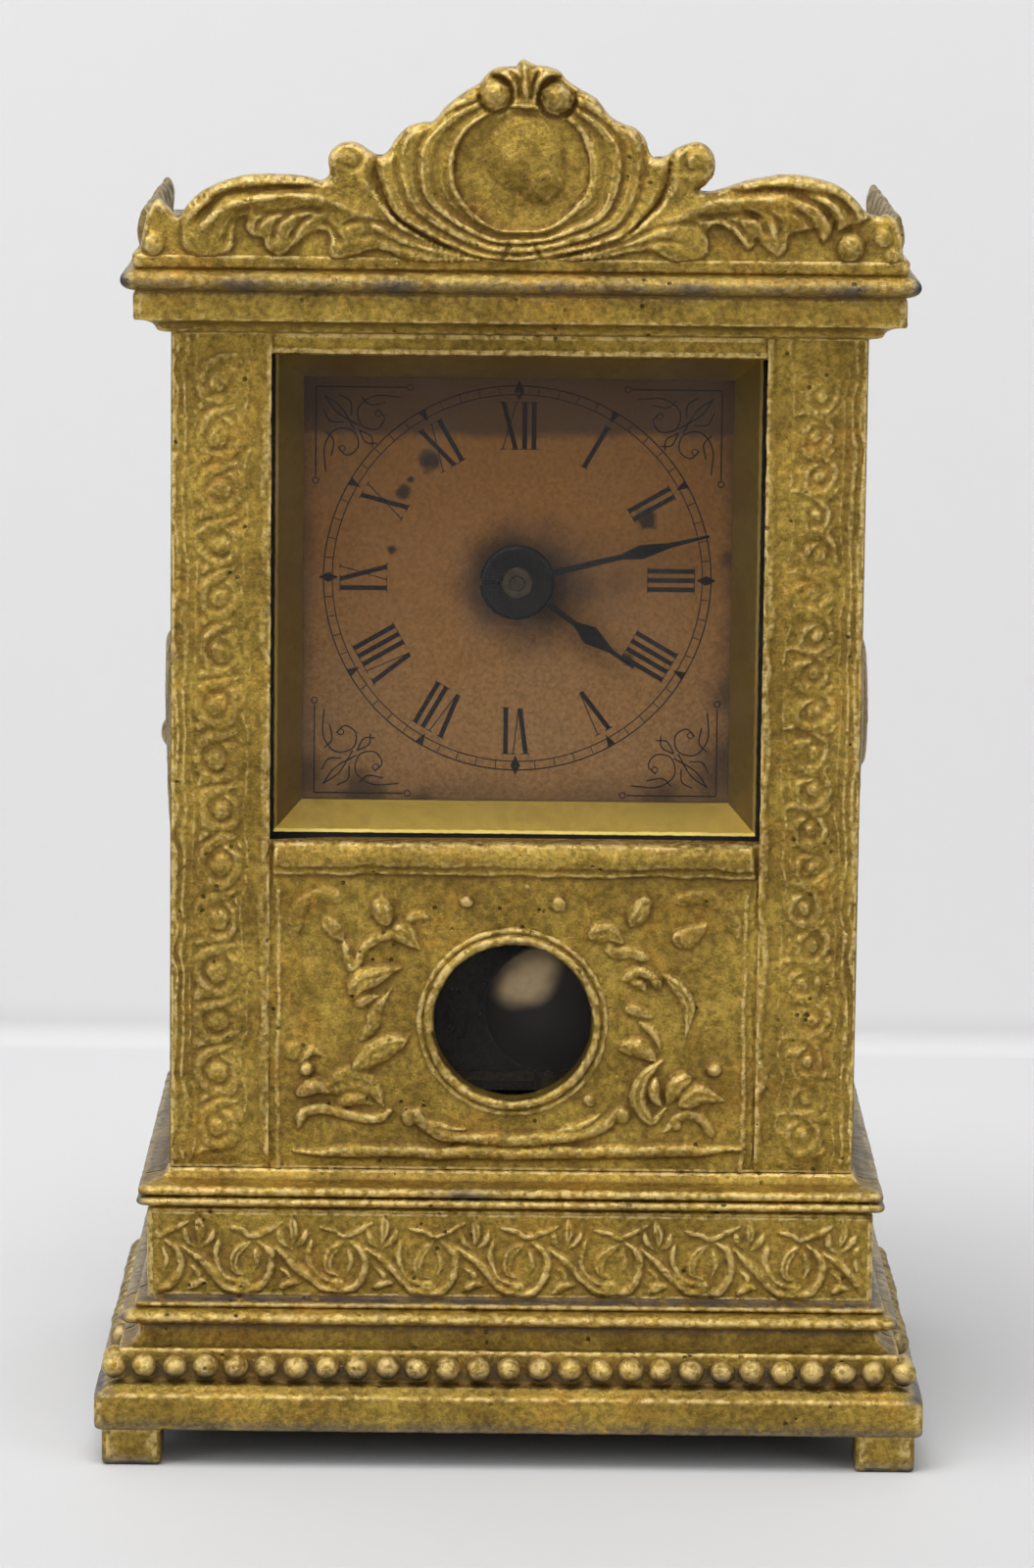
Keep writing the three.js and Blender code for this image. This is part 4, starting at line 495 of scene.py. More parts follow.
base_loop = np.concatenate([spread(base_outside, 0.16), np.array(base_inside)])
front_base = cast_piece("front_casting_base", round_corner(base_loop, 88, 0.33, front_path),
                        "front_casting", GOLD, soften=3, lumps=0.05, seed=3, inside=DARK_IRON)
rubbed_ends(front_base, lambda x, y, z: np.maximum.reduce([
    bell(z - WAIST_Z, 1.1) * fade(abs(x) - 32.6, 1.2),
    bell(z - PLINTH_TOP, 0.5) * fade(abs(x) - 35.2, 1.5) * 0.9,
    bell(z - PLINTH_BOTTOM - 0.4, 0.7) * 0.62 + 0 * x,
    # At the bead seat this band paints shade into the channel behind the beads.
    bell(z - BEAD_SEAT_Z, 0.9) * (0.62 + 0.14 * np.sin(x * 0.31 + 0.5)),
    # These two bands darken the creases at the frieze's foot and the cove's top.
    bell(z - FRIEZE_BOTTOM + 0.1, 0.3) * 0.7 + bell(z - COVE_TOP - 0.3, 0.35) * 0.6,
    bell(z - TORUS_Z, 0.9) * fade(abs(x) - 34.2, 1.0),
    bell(z - WAIST_Z - 0.4, 0.5) * bell(x + 4, 3.0) * 0.8]))

# Feet
# Four short square lugs are cast in one with the plinth's corners and carry the clock.
FOOT_HALF, FOOT_REACH, FOOT_TALL = 2.7, 3.1, PLINTH_BOTTOM + 0.6


def block(bm, size, centre):
    """A plain block, its size and its middle in millimetres."""
    made = bmesh.ops.create_cube(bm, size=1.0)["verts"]
    bmesh.ops.scale(bm, vec=Vector(size) * MM, verts=made)
    bmesh.ops.translate(bm, vec=Vector(centre) * MM, verts=made)
    return made


def foot(bm, side_x, side_y):
    """One lug, its edges rounded as cast."""
    made = block(bm, (2 * FOOT_HALF, 2 * FOOT_HALF, FOOT_TALL),
                 (side_x * (HALF_WIDTH + FOOT_REACH), side_y * (HALF_DEPTH + FOOT_REACH), FOOT_TALL / 2))
    edges = list({edge for vert in made for edge in vert.link_edges})
    bmesh.ops.bevel(bm, geom=edges, offset=0.45 * MM, segments=4, profile=0.5, affect="EDGES", material=-1)


for side_y, label, colour in ((-1, "front", GOLD), (1, "back", SIDE_GOLD)):
    lugs = bmesh.new()
    for side_x in (-1, 1):
        foot(lugs, side_x, side_y)
    bmesh.ops.subdivide_edges(lugs, edges=lugs.edges, cuts=3, use_grid_fill=True)
    feet = cast_piece("feet_" + label, lugs, label + "_casting", colour, lumps=0.04, seed=5)
    rubbed_ends(feet, lambda x, y, z: fade(1.2 - z, 1.2))

# Row of beads
# A string of round beads is cast along the foot of the hollow, just above the plinth.
BEAD_R, BEAD_Z, BEAD_PITCH = 1.15, 9.0, 2.7
BEAD_X, BEAD_Y = HALF_WIDTH + BEAD_SEAT_OUT + 0.35, HALF_DEPTH + BEAD_SEAT_OUT + 0.35


def beads(places, seed):
    """Beads at the given x and y, each a little out of true as in sand casting."""
    chance = np.random.RandomState(seed)
    bm = bmesh.new()
    for x, y in places:
        made = bmesh.ops.create_icosphere(bm, subdivisions=3, radius=BEAD_R * MM)["verts"]
        bmesh.ops.scale(bm, vec=Vector((1, 1, 1)) + Vector(chance.uniform(-0.07, 0.05, 3)), verts=made)
        shift = Vector((x, y, BEAD_Z)) + Vector(chance.uniform(-0.06, 0.06, 3))
        bmesh.ops.translate(bm, vec=shift * MM, verts=made)
    return bm


across = round(2 * BEAD_X / BEAD_PITCH)
front_beads = [(-BEAD_X + 2 * BEAD_X * i / across, -BEAD_Y) for i in range(across + 1)]
front_beads += [(side * BEAD_X, -BEAD_Y + 2.7) for side in (-1, 1)]
bead_row = cast_piece("front_beads", beads(front_beads, 7), "front_casting", GOLD, lumps=0.05,
                      seed=8)
# Painted shade: the lower half of each bead is painted dark, with a faint ripple along the row.
rubbed_ends(bead_row, lambda x, y, z: 0.85 * fade(BEAD_Z - 0.1 - z, 0.6) + 0.12 * np.sin(x * 0.4))

# Carved relief
# The flowers and scrolls are low relief, cast with the case and softened by thick paint. Each stem
# or leaf here is a stroke: a smooth line through a few points, with a width and a height.


def smooth_line(points, count=26):
    """Points evenly spread on a smooth curve through the given ones."""
    points = np.array(points, float)
    if len(points) == 2:
        return points[0] + (points[1] - points[0]) * np.linspace(0, 1, count)[:, None]
    ends = np.concatenate([[2 * points[0] - points[1]], points, [2 * points[-1] - points[-2]]])
    at = np.linspace(0, len(points) - 1, count)
    piece = np.minimum(at.astype(int), len(points) - 2)
    t = (at - piece)[:, None]
    a, b, c, d = ends[piece], ends[piece + 1], ends[piece + 2], ends[piece + 3]
    bend, twist = 2 * a - 5 * b + 4 * c - d, 3 * b - a - 3 * c + d
    return 0.5 * (2 * b + (c - a) * t + bend * t ** 2 + twist * t ** 3)


WIDTHS = {
    "line": lambda t: np.minimum(1, 6 * np.minimum(t, 1 - t) + 0.35),
    "leaf": lambda t: np.sin(np.pi * np.clip(t, 0.02, 0.98) ** 0.75) ** 0.8,
    "tail": lambda t: (1 - t) ** 0.6 + 0.05,
    "bud": lambda t: np.sin(np.pi * np.clip(t, 0.03, 0.97) ** 1.6) ** 0.7,
}


def carve(x, z, strokes, balls=()):
    """Height of the relief at each point: the highest of its strokes and balls, in millimetres."""
    height = np.zeros(len(x))
    for points, width, rise, form, groove in strokes:
        line = smooth_line(points)
        near = ((x > line[:, 0].min() - width) & (x < line[:, 0].max() + width)
                & (z > line[:, 1].min() - width) & (z < line[:, 1].max() + width))
        if not near.any():
            continue
        start, step = line[:-1], np.diff(line, axis=0)
        dx, dz = x[near][:, None] - start[:, 0], z[near][:, None] - start[:, 1]
        share = np.clip((dx * step[:, 0] + dz * step[:, 1]) / np.maximum((step ** 2).sum(1), 1e-9), 0, 1)
        along = (np.arange(len(step)) + share) / len(step)
        reach = np.hypot(dx - share * step[:, 0], dz - share * step[:, 1])
        wide = np.maximum(width * WIDTHS[form](along), 0.05)
        part = reach / wide
        best = part.argmin(1)
        pick = (np.arange(len(best)), best)
        part, wide = part[pick], wide[pick]
        rise_here = rise * (0.35 + 0.65 * np.minimum(1, wide / width))
        dome = mound(part, 1) ** 0.6
        if groove:
            dome -= groove * bell(part, 0.22) * (part < 1)
        height[near] = np.maximum(height[near], rise_here * dome)
    for bx, bz, radius, rise in balls:
        part = np.hypot(x - bx, z - bz) / radius
        height = np.maximum(height, rise * np.sqrt(mound(part, 1)))
    return height


def relief(name, low, high, front, back, step, height, seed, keep=None, snap=None, warp=0.1, worn=0.0,
           soften=1):
    """A relief on the front: a sheet from low to high (x, z), raised by height(x, z), bent and worn."""
    (x0, z0), (x1, z1) = low, high
    wide, tall = x1 - x0, z1 - z0

    def place(u, v):
        x, z = x0 + wide * u, z0 + tall * v
        bend_x = spots(np.stack([x / 2.2, 0 * x, z / 2.2], 1), seed)
        bend_z = spots(np.stack([x / 2.2, 0 * x + 7.5, z / 2.2], 1), seed)
        left = 1 - worn * (0.5 + 0.5 * spots(np.stack([x / 3.1, 0 * x + 3.5, z / 3.1], 1), seed))
        return np.stack([x, front - left * height(x + warp * bend_x, z + warp * bend_z), z], 1)

    bm = fine_sheet(int(wide / step), int(tall / step), place)
    if keep is not None:
        centres = np.array([face.calc_center_median() for face in bm.faces]) / MM
        lost = ~keep(centres[:, 0], centres[:, 2])
        bmesh.ops.delete(bm, geom=[face for face, gone in zip(bm.faces, lost) if gone], context="FACES")
        loose = [vert for vert in bm.verts if not vert.link_faces]
        bmesh.ops.delete(bm, geom=loose, context="VERTS")
    if snap is not None:
        for vert in bm.verts:
            if vert.is_boundary:
                vert.co.x, vert.co.z = snap(vert.co.x / MM, vert.co.z / MM)
    close_back(bm, back)
    return cast_piece(name, bm, "front_casting", GOLD, soften=soften, lumps=0.065, seed=seed,
                      inside=DARK_IRON)


# Frieze
# Round the base, between the half-round and the ring, runs a band of looped stems with a leaf in each
# loop, a three-leaved bud above and a small leaf below each crossing.
FRIEZE_PITCH, FRIEZE_FIRST = 8.3, -24.0


def moved(strokes, x, z=0.0):
    """The same strokes with their points moved."""
    return [([(x + px, z + pz) for px, pz in points], *rest) for points, *rest in strokes]


LOOP = [
    ([(-5.6, 19.6), (-3.9, 18.2), (-2.3, 16.4), (-1.2, 15.5), (0.3, 15.3), (1.7, 16.0), (2.5, 17.6),
      (2.3, 19.2), (1.2, 20.1)], 0.46, 0.46, "line", 0),
    ([(-2.5, 20.1), (-2.75, 18.6), (-2.0, 16.9), (-0.6, 16.2)], 0.34, 0.36, "line", 0),
    ([(0.5, 20.0), (-0.8, 18.8), (-0.9, 17.4), (0.3, 16.7)], 0.55, 0.34, "leaf", 0.3),
    ([(0.9, 19.4), (1.2, 18.2), (0.8, 17.0)], 0.34, 0.28, "leaf", 0),
    ([(-1.7, 21.4), (-0.3, 21.1), (0.6, 20.6), (1.9, 21.1), (3.3, 21.8)], 0.34, 0.36, "line", 0),
    ([(4.1, 19.6), (4.3, 20.9), (4.15, 22.3)], 0.5, 0.46, "bud", 0.25),
    ([(4.0, 19.5), (3.2, 20.2), (2.9, 21.2)], 0.38, 0.4, "bud", 0),
    ([(4.2, 19.5), (5.0, 20.1), (5.4, 21.1)], 0.38, 0.4, "bud", 0),
    ([(3.2, 15.6), (4.2, 16.2), (5.1, 16.1)], 0.46, 0.42, "leaf", 0),
    ([(4.3, 16.4), (4.0, 17.2), (3.3, 17.7)], 0.32, 0.3, "leaf", 0),
]
frieze_strokes, frieze_balls = [], []
for i in range(-1, 8):
    frieze_strokes += moved(LOOP, FRIEZE_FIRST + i * FRIEZE_PITCH)
    frieze_balls.append((FRIEZE_FIRST + i * FRIEZE_PITCH - 0.1, 15.9, 0.8, 0.4))


def frieze_height(x, z):
    """The carved band; it dies away before the corners and the mouldings."""
    ends = fade(32.4 - abs(x), 1.0) * fade(z - 14.95, 0.5) * fade(22.75 - z, 0.4)
    return 0.06 + ends * carve(x, z, frieze_strokes, frieze_balls)


relief("front_frieze", (-32.75, 14.9), (32.75, 22.8), -HALF_DEPTH - FRIEZE_OUT, -HALF_DEPTH, 0.13,
       frieze_height, 11, warp=0.22, worn=0.3)

# Pilasters
# Down each side of the front runs a flat pilaster: two thin reeds at the outer edge, a chain of
# rings with a boss in each, and a plain band beside the dial. The right-hand chain is closer and twisted.
CHAIN_X, LEFT_PITCH, RIGHT_PITCH, RETURN_DEEP = 26.6, 4.85, 3.55, 1.9
PILASTER_X, REED_LOW, CHAIN_LOW, CHAIN_HIGH = 21.9, 26.9, 27.4, 101.2


def reeds(across):
    """The long thin reeds and edge lines, by distance from the middle of the clock."""
    height = 0.0 * across
    for middle, half, rise in ((30.55, 0.32, 0.32), (29.75, 0.3, 0.28), (28.95, 0.2, 0.14),
                               (24.2, 0.22, 0.16), (22.45, 0.5, 0.42)):
        height = np.maximum(height, rise * mound(across - middle, half) ** 0.6)
    return height


LEFT_LINK = [  # a ring that curls into the next, a boss inside it
    ([(1.5, 2.3), (0.2, 1.95), (-1.35, 1.2), (-1.65, -0.3), (-0.9, -1.7), (0.5, -1.9), (1.5, -0.9),
      (1.5, 0.6), (0.5, 1.35)], 0.5, 0.36, "line", 0),
    ([(-1.9, -2.6), (-1.2, -2.1), (-0.2, -2.4)], 0.45, 0.34, "leaf", 0),
    ([(1.7, 2.0), (2.1, 0.4), (1.8, -1.4)], 0.35, 0.22, "leaf", 0),
]
RIGHT_LINK = [  # a slanting loop, laid close like a twisted cord
    ([(-1.9, 1.7), (-0.6, 1.9), (0.9, 1.2), (1.5, -0.1), (0.9, -1.5), (-0.3, -1.9), (-1.2, -1.1),
      (-1.0, 0.3), (-0.1, 0.8)], 0.42, 0.38, "line", 0),
    ([(1.9, -1.3), (1.0, -2.1), (-0.4, -2.3)], 0.4, 0.34, "leaf", 0),
    ([(-1.9, 0.4), (-1.5, -0.8), (-1.7, -1.6)], 0.32, 0.24, "leaf", 0),
]


def chain_of(link, boss, places):
    """Strokes and balls of a chain with a link and a boss at each place."""
    strokes, balls = [], []
    for x, z in places:
        strokes += moved(link, x, z)
        balls.append((x + boss[0], z + boss[1], *boss[2:]))
    return strokes, balls


left_chain = chain_of(LEFT_LINK, (0.05, -0.15, 0.95, 0.5),
                      [(-CHAIN_X, 30.2 + i * LEFT_PITCH) for i in range(15)])
right_chain = chain_of(RIGHT_LINK, (0.15, -0.3, 0.6, 0.4),
                       [(CHAIN_X - 0.1 + (0.25 if i % 2 else -0.25), 30.0 + i * RIGHT_PITCH)
                        for i in range(20)])
for side, chain, label in ((-1, left_chain, "left"), (1, right_chain, "right")):
    edges = sorted((side * HALF_WIDTH, side * PILASTER_X))

    def pilaster_height(x, z, side=side, chain=chain):
        ends = fade(z - CHAIN_LOW, 0.6) * fade(CHAIN_HIGH - z, 0.6)
        return reeds(side * x) * fade(z - REED_LOW, 0.5) + ends * carve(x, z, *chain)

    relief("front_pilaster_" + label, (edges[0], BODY_BOTTOM - 0.2), (edges[1], BODY_TOP + 0.2),
           -HALF_DEPTH,
           -HALF_DEPTH + WALL, 0.125, pilaster_height, 13 + side, warp=0.42, worn=0.75, soften=2)
    strip = bmesh.new()
    block(strip, (WALL, RETURN_DEEP, BODY_TOP - BODY_BOTTOM),
          (side * (HALF_WIDTH - WALL / 2), RETURN_Y - RETURN_DEEP / 2, (BODY_TOP + BODY_BOTTOM) / 2))
    cast_piece("front_return_" + label, strip, "front_casting", GOLD)

# Panel with the round window
# Under the dial a rounded rail crosses the front. Below it, the panel is carved with leafy scrolls
# either side of a round hole for watching the pendulum.
WINDOW_Z, WINDOW_R, HOLE_R, TUCK = 40.1, 7.16, 8.2, 22.5
JOINT_X, JOINT_DEEP, CARVE_WIDER, CARVE_HIGHER, RAIL_Z, RAIL_HALF = 21.6, 0.16, 1.28, 1.3, 55.0, 1.55
panel_strokes = [
    ([(-11.9, 51.6), (-11.95, 50.6), (-11.6, 49.0)], 0.75, 0.75, "bud", 0.15),
    ([(-17.0, 49.3), (-16.2, 48.6), (-15.3, 47.4)], 0.7, 0.5, "leaf", 0),
    ([(-15.3, 47.6), (-15.1, 46.3), (-14.4, 45.0), (-13.4, 46.8), (-12.0, 47.7), (-10.4, 48.2)], 0.4, 0.4,
     "line", 0),
    ([(-10.9, 48.3), (-9.6, 48.0), (-8.3, 46.5)], 0.85, 0.7, "leaf", 0.2),
    ([(-9.9, 49.0), (-8.8, 49.8), (-7.2, 49.6)], 0.45, 0.35, "leaf", 0),
    ([(-14.5, 42.2), (-13.9, 43.6), (-12.4, 44.3), (-10.1, 44.9)], 0.95, 0.85, "leaf", 0.15),
    ([(-14.1, 41.6), (-13.2, 42.0), (-12.0, 42.4)], 0.55, 0.5, "leaf", 0),
    ([(-13.6, 38.4), (-12.8, 39.6), (-12.2, 41.2), (-11.0, 43.0)], 0.55, 0.4, "leaf", 0),
    ([(-9.8, 38.2), (-11.6, 37.7), (-13.3, 36.4), (-15.0, 34.8)], 0.95, 0.85, "leaf", 0.1),
    ([(-19.4, 33.2), (-17.9, 34.0), (-16.3, 33.2)], 0.75, 0.85, "leaf", 0),
    ([(-16.7, 33.6), (-14.8, 34.6), (-12.9, 34.2), (-11.6, 32.2)], 1.1, 0.6, "leaf", 0.2),
    ([(-15.8, 32.4), (-14.2, 33.0), (-12.7, 32.4)], 0.6, 0.6, "leaf", 0),
    ([(-19.4, 30.2), (-19.0, 31.5), (-17.2, 31.9), (-14.6, 31.4), (-12.4, 31.0), (-10.9, 31.8)], 0.42, 0.5,
     "line", 0),
    ([(-19.2, 36.3), (-18.0, 37.2), (-16.7, 36.7)], 0.4, 0.35, "leaf", 0),
    ([(-19.8, 47.8), (-19.3, 50.3), (-17.4, 51.7), (-15.4, 51.5)], 0.6, 0.28, "line", 0),
    ([(12.8, 51.4), (11.6, 50.9), (10.7, 49.2)], 0.85, 0.8, "bud", 0.15),
    ([(7.0, 48.3), (8.4, 48.4), (9.9, 47.5)], 0.8, 0.6, "leaf", 0.2),
    ([(8.2, 47.3), (9.2, 46.6), (10.3, 46.7), (12.2, 46.2)], 0.45, 0.4, "line", 0),
    ([(14.8, 48.0), (15.9, 48.2), (17.4, 49.3)], 0.85, 0.55, "leaf", 0),
    ([(14.6, 51.4), (17.0, 51.8), (19.2, 50.6), (20.1, 48.2)], 0.6, 0.28, "line", 0),
    ([(9.9, 44.2), (11.2, 45.0), (12.4, 44.6), (13.1, 43.4)], 0.45, 0.5, "line", 0),
    ([(10.6, 44.1), (11.5, 43.8), (12.0, 43.0)], 0.4, 0.35, "leaf", 0),
    ([(13.6, 44.6), (15.2, 43.2), (15.9, 41.2), (15.6, 39.0)], 0.6, 0.5, "leaf", 0.2),
    ([(10.3, 41.4), (11.4, 41.3), (12.7, 40.6)], 0.5, 0.4, "leaf", 0),
    ([(11.4, 40.3), (12.8, 39.2), (13.3, 37.6)], 0.4, 0.35, "leaf", 0),
    ([(9.9, 38.0), (11.5, 37.8), (13.0, 36.6)], 0.8, 0.75, "leaf", 0),
    ([(13.4, 36.6), (11.9, 35.0), (11.4, 33.0), (12.6, 31.3), (13.9, 32.3)], 0.7, 0.75, "leaf", 0.15),
    ([(13.2, 35.2), (12.9, 33.6), (13.6, 32.4)], 0.5, 0.7, "leaf", 0),
    ([(16.1, 35.0), (15.0, 34.4), (13.9, 32.6)], 0.75, 0.85, "leaf", 0.15),
    ([(15.2, 32.6), (16.9, 33.6), (19.2, 33.1)], 0.85, 0.8, "leaf", 0.15),
    ([(13.8, 30.2), (15.6, 31.7), (17.6, 31.2), (18.4, 29.7)], 0.4, 0.35, "line", 0),
    ([(-9.6, 31.9), (-8.6, 31.5), (-7.4, 30.3), (-5.0, 29.4), (-1.0, 29.2), (3.4, 29.3), (6.4, 29.8),
      (8.4, 30.9), (9.6, 32.3)], 0.5, 0.5, "line", 0),
    ([(-8.4, 30.9), (-6.4, 30.4), (-3.9, 30.2)], 0.4, 0.45, "leaf", 0),
    ([(4.0, 30.1), (6.3, 30.6), (8.0, 31.8)], 0.45, 0.45, "leaf", 0),
    ([(-19.6, 28.0), (-6.0, 27.95), (8.0, 28.1), (20.7, 28.45)], 0.5, 0.5, "line", 0),
]
panel_balls = [
    (-4.4, 51.1, 0.7, 0.7), (4.1, 51.1, 0.75, 0.75), (1.2, 52.5, 0.35, 0.3), (-18.5, 35.7, 0.7, 0.75),
    (18.3, 35.9, 0.7, 0.75), (-19.8, 37.4, 0.9, 0.3), (14.8, 30.7, 0.55, 0.5), (-9.2, 31.3, 0.85, 0.6),
    (9.9, 31.7, 0.8, 0.6), (7.2, 32.9, 0.6, 0.4),
]


def side_joint(x):
    """The faint groove where panel and lintel run in behind the pilasters."""
    return JOINT_DEEP * fade(abs(x) - JOINT_X, 0.3)


def panel_height(x, z):
    """Carving, rail and edge lines of the panel."""
    strokes = [(points, CARVE_WIDER * width, CARVE_HIGHER * rise, *rest)
               for points, width, rise, *rest in panel_strokes]
    height = carve(x, z, strokes, panel_balls)
    rail = mound(z - RAIL_Z, RAIL_HALF) ** 0.55
    groove = 0.35 * bell(z - 54.1, 0.28)
    height = np.maximum(height, 1.15 * rail - groove * (rail > 0))
    for line_x, rise in ((-21.2, 0.2), (20.9, 0.22)):
        line = rise * mound(x - line_x, 0.3) ** 0.6
        height = np.maximum(height, line * fade(52.5 - z, 0.5))
    return height * fade(PILASTER_X - abs(x), 0.3) - side_joint(x)


def round_hole(x, z):
    """A point of the hole's edge, moved on to its circle."""
    reach = math.hypot(x, z - WINDOW_Z)
    if reach > 11:
        return x * MM, z * MM
    return x / reach * HOLE_R * MM, (WINDOW_Z + (z - WINDOW_Z) / reach * HOLE_R) * MM


relief("front_panel", (-TUCK, BODY_BOTTOM - 0.2), (TUCK, 56.6), -HALF_DEPTH, -HALF_DEPTH + WALL, 0.125,
       panel_height, 17, keep=lambda x, z: np.hypot(x, z - WINDOW_Z) > HOLE_R, snap=round_hole, warp=0.22,
       worn=0.3)
relief("front_lintel", (-TUCK, 100.35), (TUCK, BODY_TOP + 0.2), -HALF_DEPTH, -HALF_DEPTH + WALL, 0.2,
       lambda x, z: 0.22 * mound(z - 100.7, 0.4) - side_joint(x), 19)


def spun(profile, x, z, steps):
    """A turned form: (radius, depth) pairs spun about a line from front to back."""
    bm = bmesh.new()
    verts = [bm.verts.new(Vector((x + radius, y, z)) * MM) for radius, y in profile]
    edges = [bm.edges.new(pair) for pair in zip(verts, verts[1:])]
    bmesh.ops.spin(bm, geom=verts + edges, cent=Vector((x, 0, z)) * MM, axis=(0, 1, 0), angle=2 * math.pi,
                   steps=steps, use_merge=True)
    bmesh.ops.remove_doubles(bm, verts=bm.verts, dist=1e-7)
    return bm


def rounded(profile, step):
    """A turned profile with a point about every step millimetres and its corners eased."""
    fine = spread(profile, step)
    eased = fine.copy()
    eased[1:-1] = 0.25 * fine[:-2] + 0.5 * fine[1:-1] + 0.25 * fine[2:]
    return [tuple(point) for point in eased]


ring_profile = [(WINDOW_R, -HALF_DEPTH + WALL), (WINDOW_R, -HALF_DEPTH - 0.2)]
for radius, half, front, rise, steps in ((7.62, 0.44, 0.3, 0.42, 9), (8.4, 0.32, 0.12, 0.24, 8)):
    ring_profile += [(radius - half * math.cos(a), -HALF_DEPTH - front - rise * math.sin(a))
                     for a in np.linspace(0, math.pi, steps)]
ring_profile += [(8.75, -HALF_DEPTH + 0.3), (8.75, -HALF_DEPTH + WALL), (WINDOW_R, -HALF_DEPTH + WALL)]
cast_piece("front_window_ring", spun(rounded(ring_profile, 0.14), 0, WINDOW_Z, 150), "front_casting", GOLD,
           soften=3, lumps=0.09, seed=23)

# Cornice
# Above the dial the casting spreads in a hollow to a flat fascia, then a bold ring whose ends have
# lost their paint, and a narrow ledge that carries the crest.
CYMA_OUT, FASCIA_OUT, FASCIA_BOTTOM, FASCIA_TOP = 1.2, 3.2, 103.6, 105.9
CORNICE_OUT, CORNICE_Z, CORNICE_R, LEDGE_OUT, CASE_TOP = 4.35, 107.2, 0.95, 3.3, 109.6
angles = np.linspace(0, math.pi / 2, 10)
cornice_outside = [
    (0, BODY_TOP), (CYMA_OUT - 0.4, BODY_TOP + 0.1),
    *[(FASCIA_OUT - (FASCIA_OUT - CYMA_OUT) * math.cos(a), BODY_TOP + 0.3 + 1.0 * math.sin(a))
      for a in angles],
    (FASCIA_OUT, FASCIA_BOTTOM), (FASCIA_OUT, FASCIA_TOP),
    *half_round(FASCIA_OUT - 0.2, CORNICE_OUT, CORNICE_Z, CORNICE_R),
    (LEDGE_OUT, CORNICE_Z + CORNICE_R + 0.25), (LEDGE_OUT, CASE_TOP - 0.2), (LEDGE_OUT - 0.2, CASE_TOP),
]
cornice_inside = [(1.0, CASE_TOP), (1.0, 108.5), (-WALL, 108.5), (-WALL, BODY_TOP)]
cornice_loop = np.concatenate([spread(cornice_outside, 0.15), np.array(cornice_inside)])
cornice = cast_piece("front_casting_cornice", round_corner(cornice_loop, 80, 0.33, front_path),
                     "front_casting", GOLD, soften=3, lumps=0.05, seed=29, inside=DARK_IRON)
rubbed_ends(cornice, lambda x, y, z: np.maximum(
    bell(z - CORNICE_Z, 1.2) * fade(abs(x) - 33.9, 1.1),
    # The second band darkens the ring's lower half in patches along its whole length.
    bell(z - CORNICE_Z + 0.4, 0.8) * (0.45 + 0.3 * np.sin(x * 0.7) * np.sin(x * 0.23 + 1))))

# Crest
# On the ledge stands a cast crest: an oval cartouche with a worn, plain boss, ringed by broad flutes,
# two scrolled knobs, and on each side a long leaf that curls down to a ball, its lobes standing free.
CREST_LOW, CREST_CUT, CREST_FREE = 108.6, 108.85, 108.95
CREST_FACE, CREST_BACK = -HALF_DEPTH - LEDGE_OUT + 0.25, -HALF_DEPTH - LEDGE_OUT + 2.45
crest_outline = [
    (-33.8, 108.8), (-33.4, 111.0), (-32.9, 113.2), (-32.0, 114.2), (-31.2, 113.6), (-30.2, 112.6),
    (-29.4, 113.8), (-27.9, 115.1), (-26.4, 115.8), (-24.5, 116.35), (-22.6, 116.5), (-20.0, 116.45),
    (-18.8, 116.3), (-17.7, 116.0), (-16.95, 116.5), (-17.0, 118.1), (-16.4, 119.0), (-15.3, 119.4),
    (-14.3, 119.2), (-13.4, 118.6), (-12.6, 118.2), (-11.9, 118.5), (-11.2, 119.6), (-10.5, 120.4),
    (-9.8, 120.9), (-8.9, 121.15), (-7.85, 121.3), (-7.0, 122.3), (-6.0, 123.2), (-4.9, 124.0),
    (-3.8, 124.7), (-3.4, 125.2), (-2.6, 125.9), (-1.7, 126.1), (-0.7, 126.1), (-0.35, 126.5),
    (0.0, 126.75), (0.4, 126.6), (1.1, 126.3), (2.3, 126.1), (3.2, 125.8), (3.85, 125.0), (4.9, 124.3),
    (6.3, 123.5), (7.0, 122.8), (7.8, 121.8), (8.9, 121.25), (10.0, 120.8), (10.8, 119.9), (11.2, 118.8),
    (11.8, 118.3), (12.7, 118.5), (13.7, 119.2), (15.4, 119.7), (16.5, 119.2), (16.95, 118.1),
    (16.8, 116.9), (16.1, 116.0), (15.6, 115.6), (16.2, 115.3), (17.5, 115.6), (20.0, 116.4), (22.1, 116.8),
    (23.8, 116.95), (25.7, 116.7), (27.4, 116.2), (28.5, 115.6), (29.6, 114.6), (30.4, 113.7),
    (31.4, 113.4), (32.3, 113.5), (33.2, 112.7), (33.6, 110.8), (33.8, 108.8),
]
outline_points = smooth_line(crest_outline, 460)
outline_points = outline_points[outline_points[:, 1] > CREST_CUT]
crest_ring = np.concatenate([outline_points, [[33.8, CREST_LOW], [-33.8, CREST_LOW]]])


def within(x, z, ring):
    """True inside a closed outline."""
    inside = np.zeros(len(x), bool)
    for (xa, za), (xb, zb) in zip(ring, np.roll(ring, -1, axis=0)):
        if za != zb:
            inside ^= ((za > z) != (zb > z)) & (x < (xb - xa) * (z - za) / (zb - za) + xa)
    return inside


def reach_to(x, z, line):
    """Distance from each point to the nearest point of a line."""
    reach = np.full(len(x), 9.0)
    for px, pz in line:
        reach = np.minimum(reach, np.hypot(x - px, z - pz))
    return reach


def to_outline(x, z):
    """A point of the cut edge, moved on to the outline."""
    gap = np.hypot(outline_points[:, 0] - x, outline_points[:, 1] - z)
    near = gap.argmin()
    if z < CREST_FREE or gap[near] > 0.4:
        return x * MM, z * MM
    return outline_points[near, 0] * MM, outline_points[near, 1] * MM


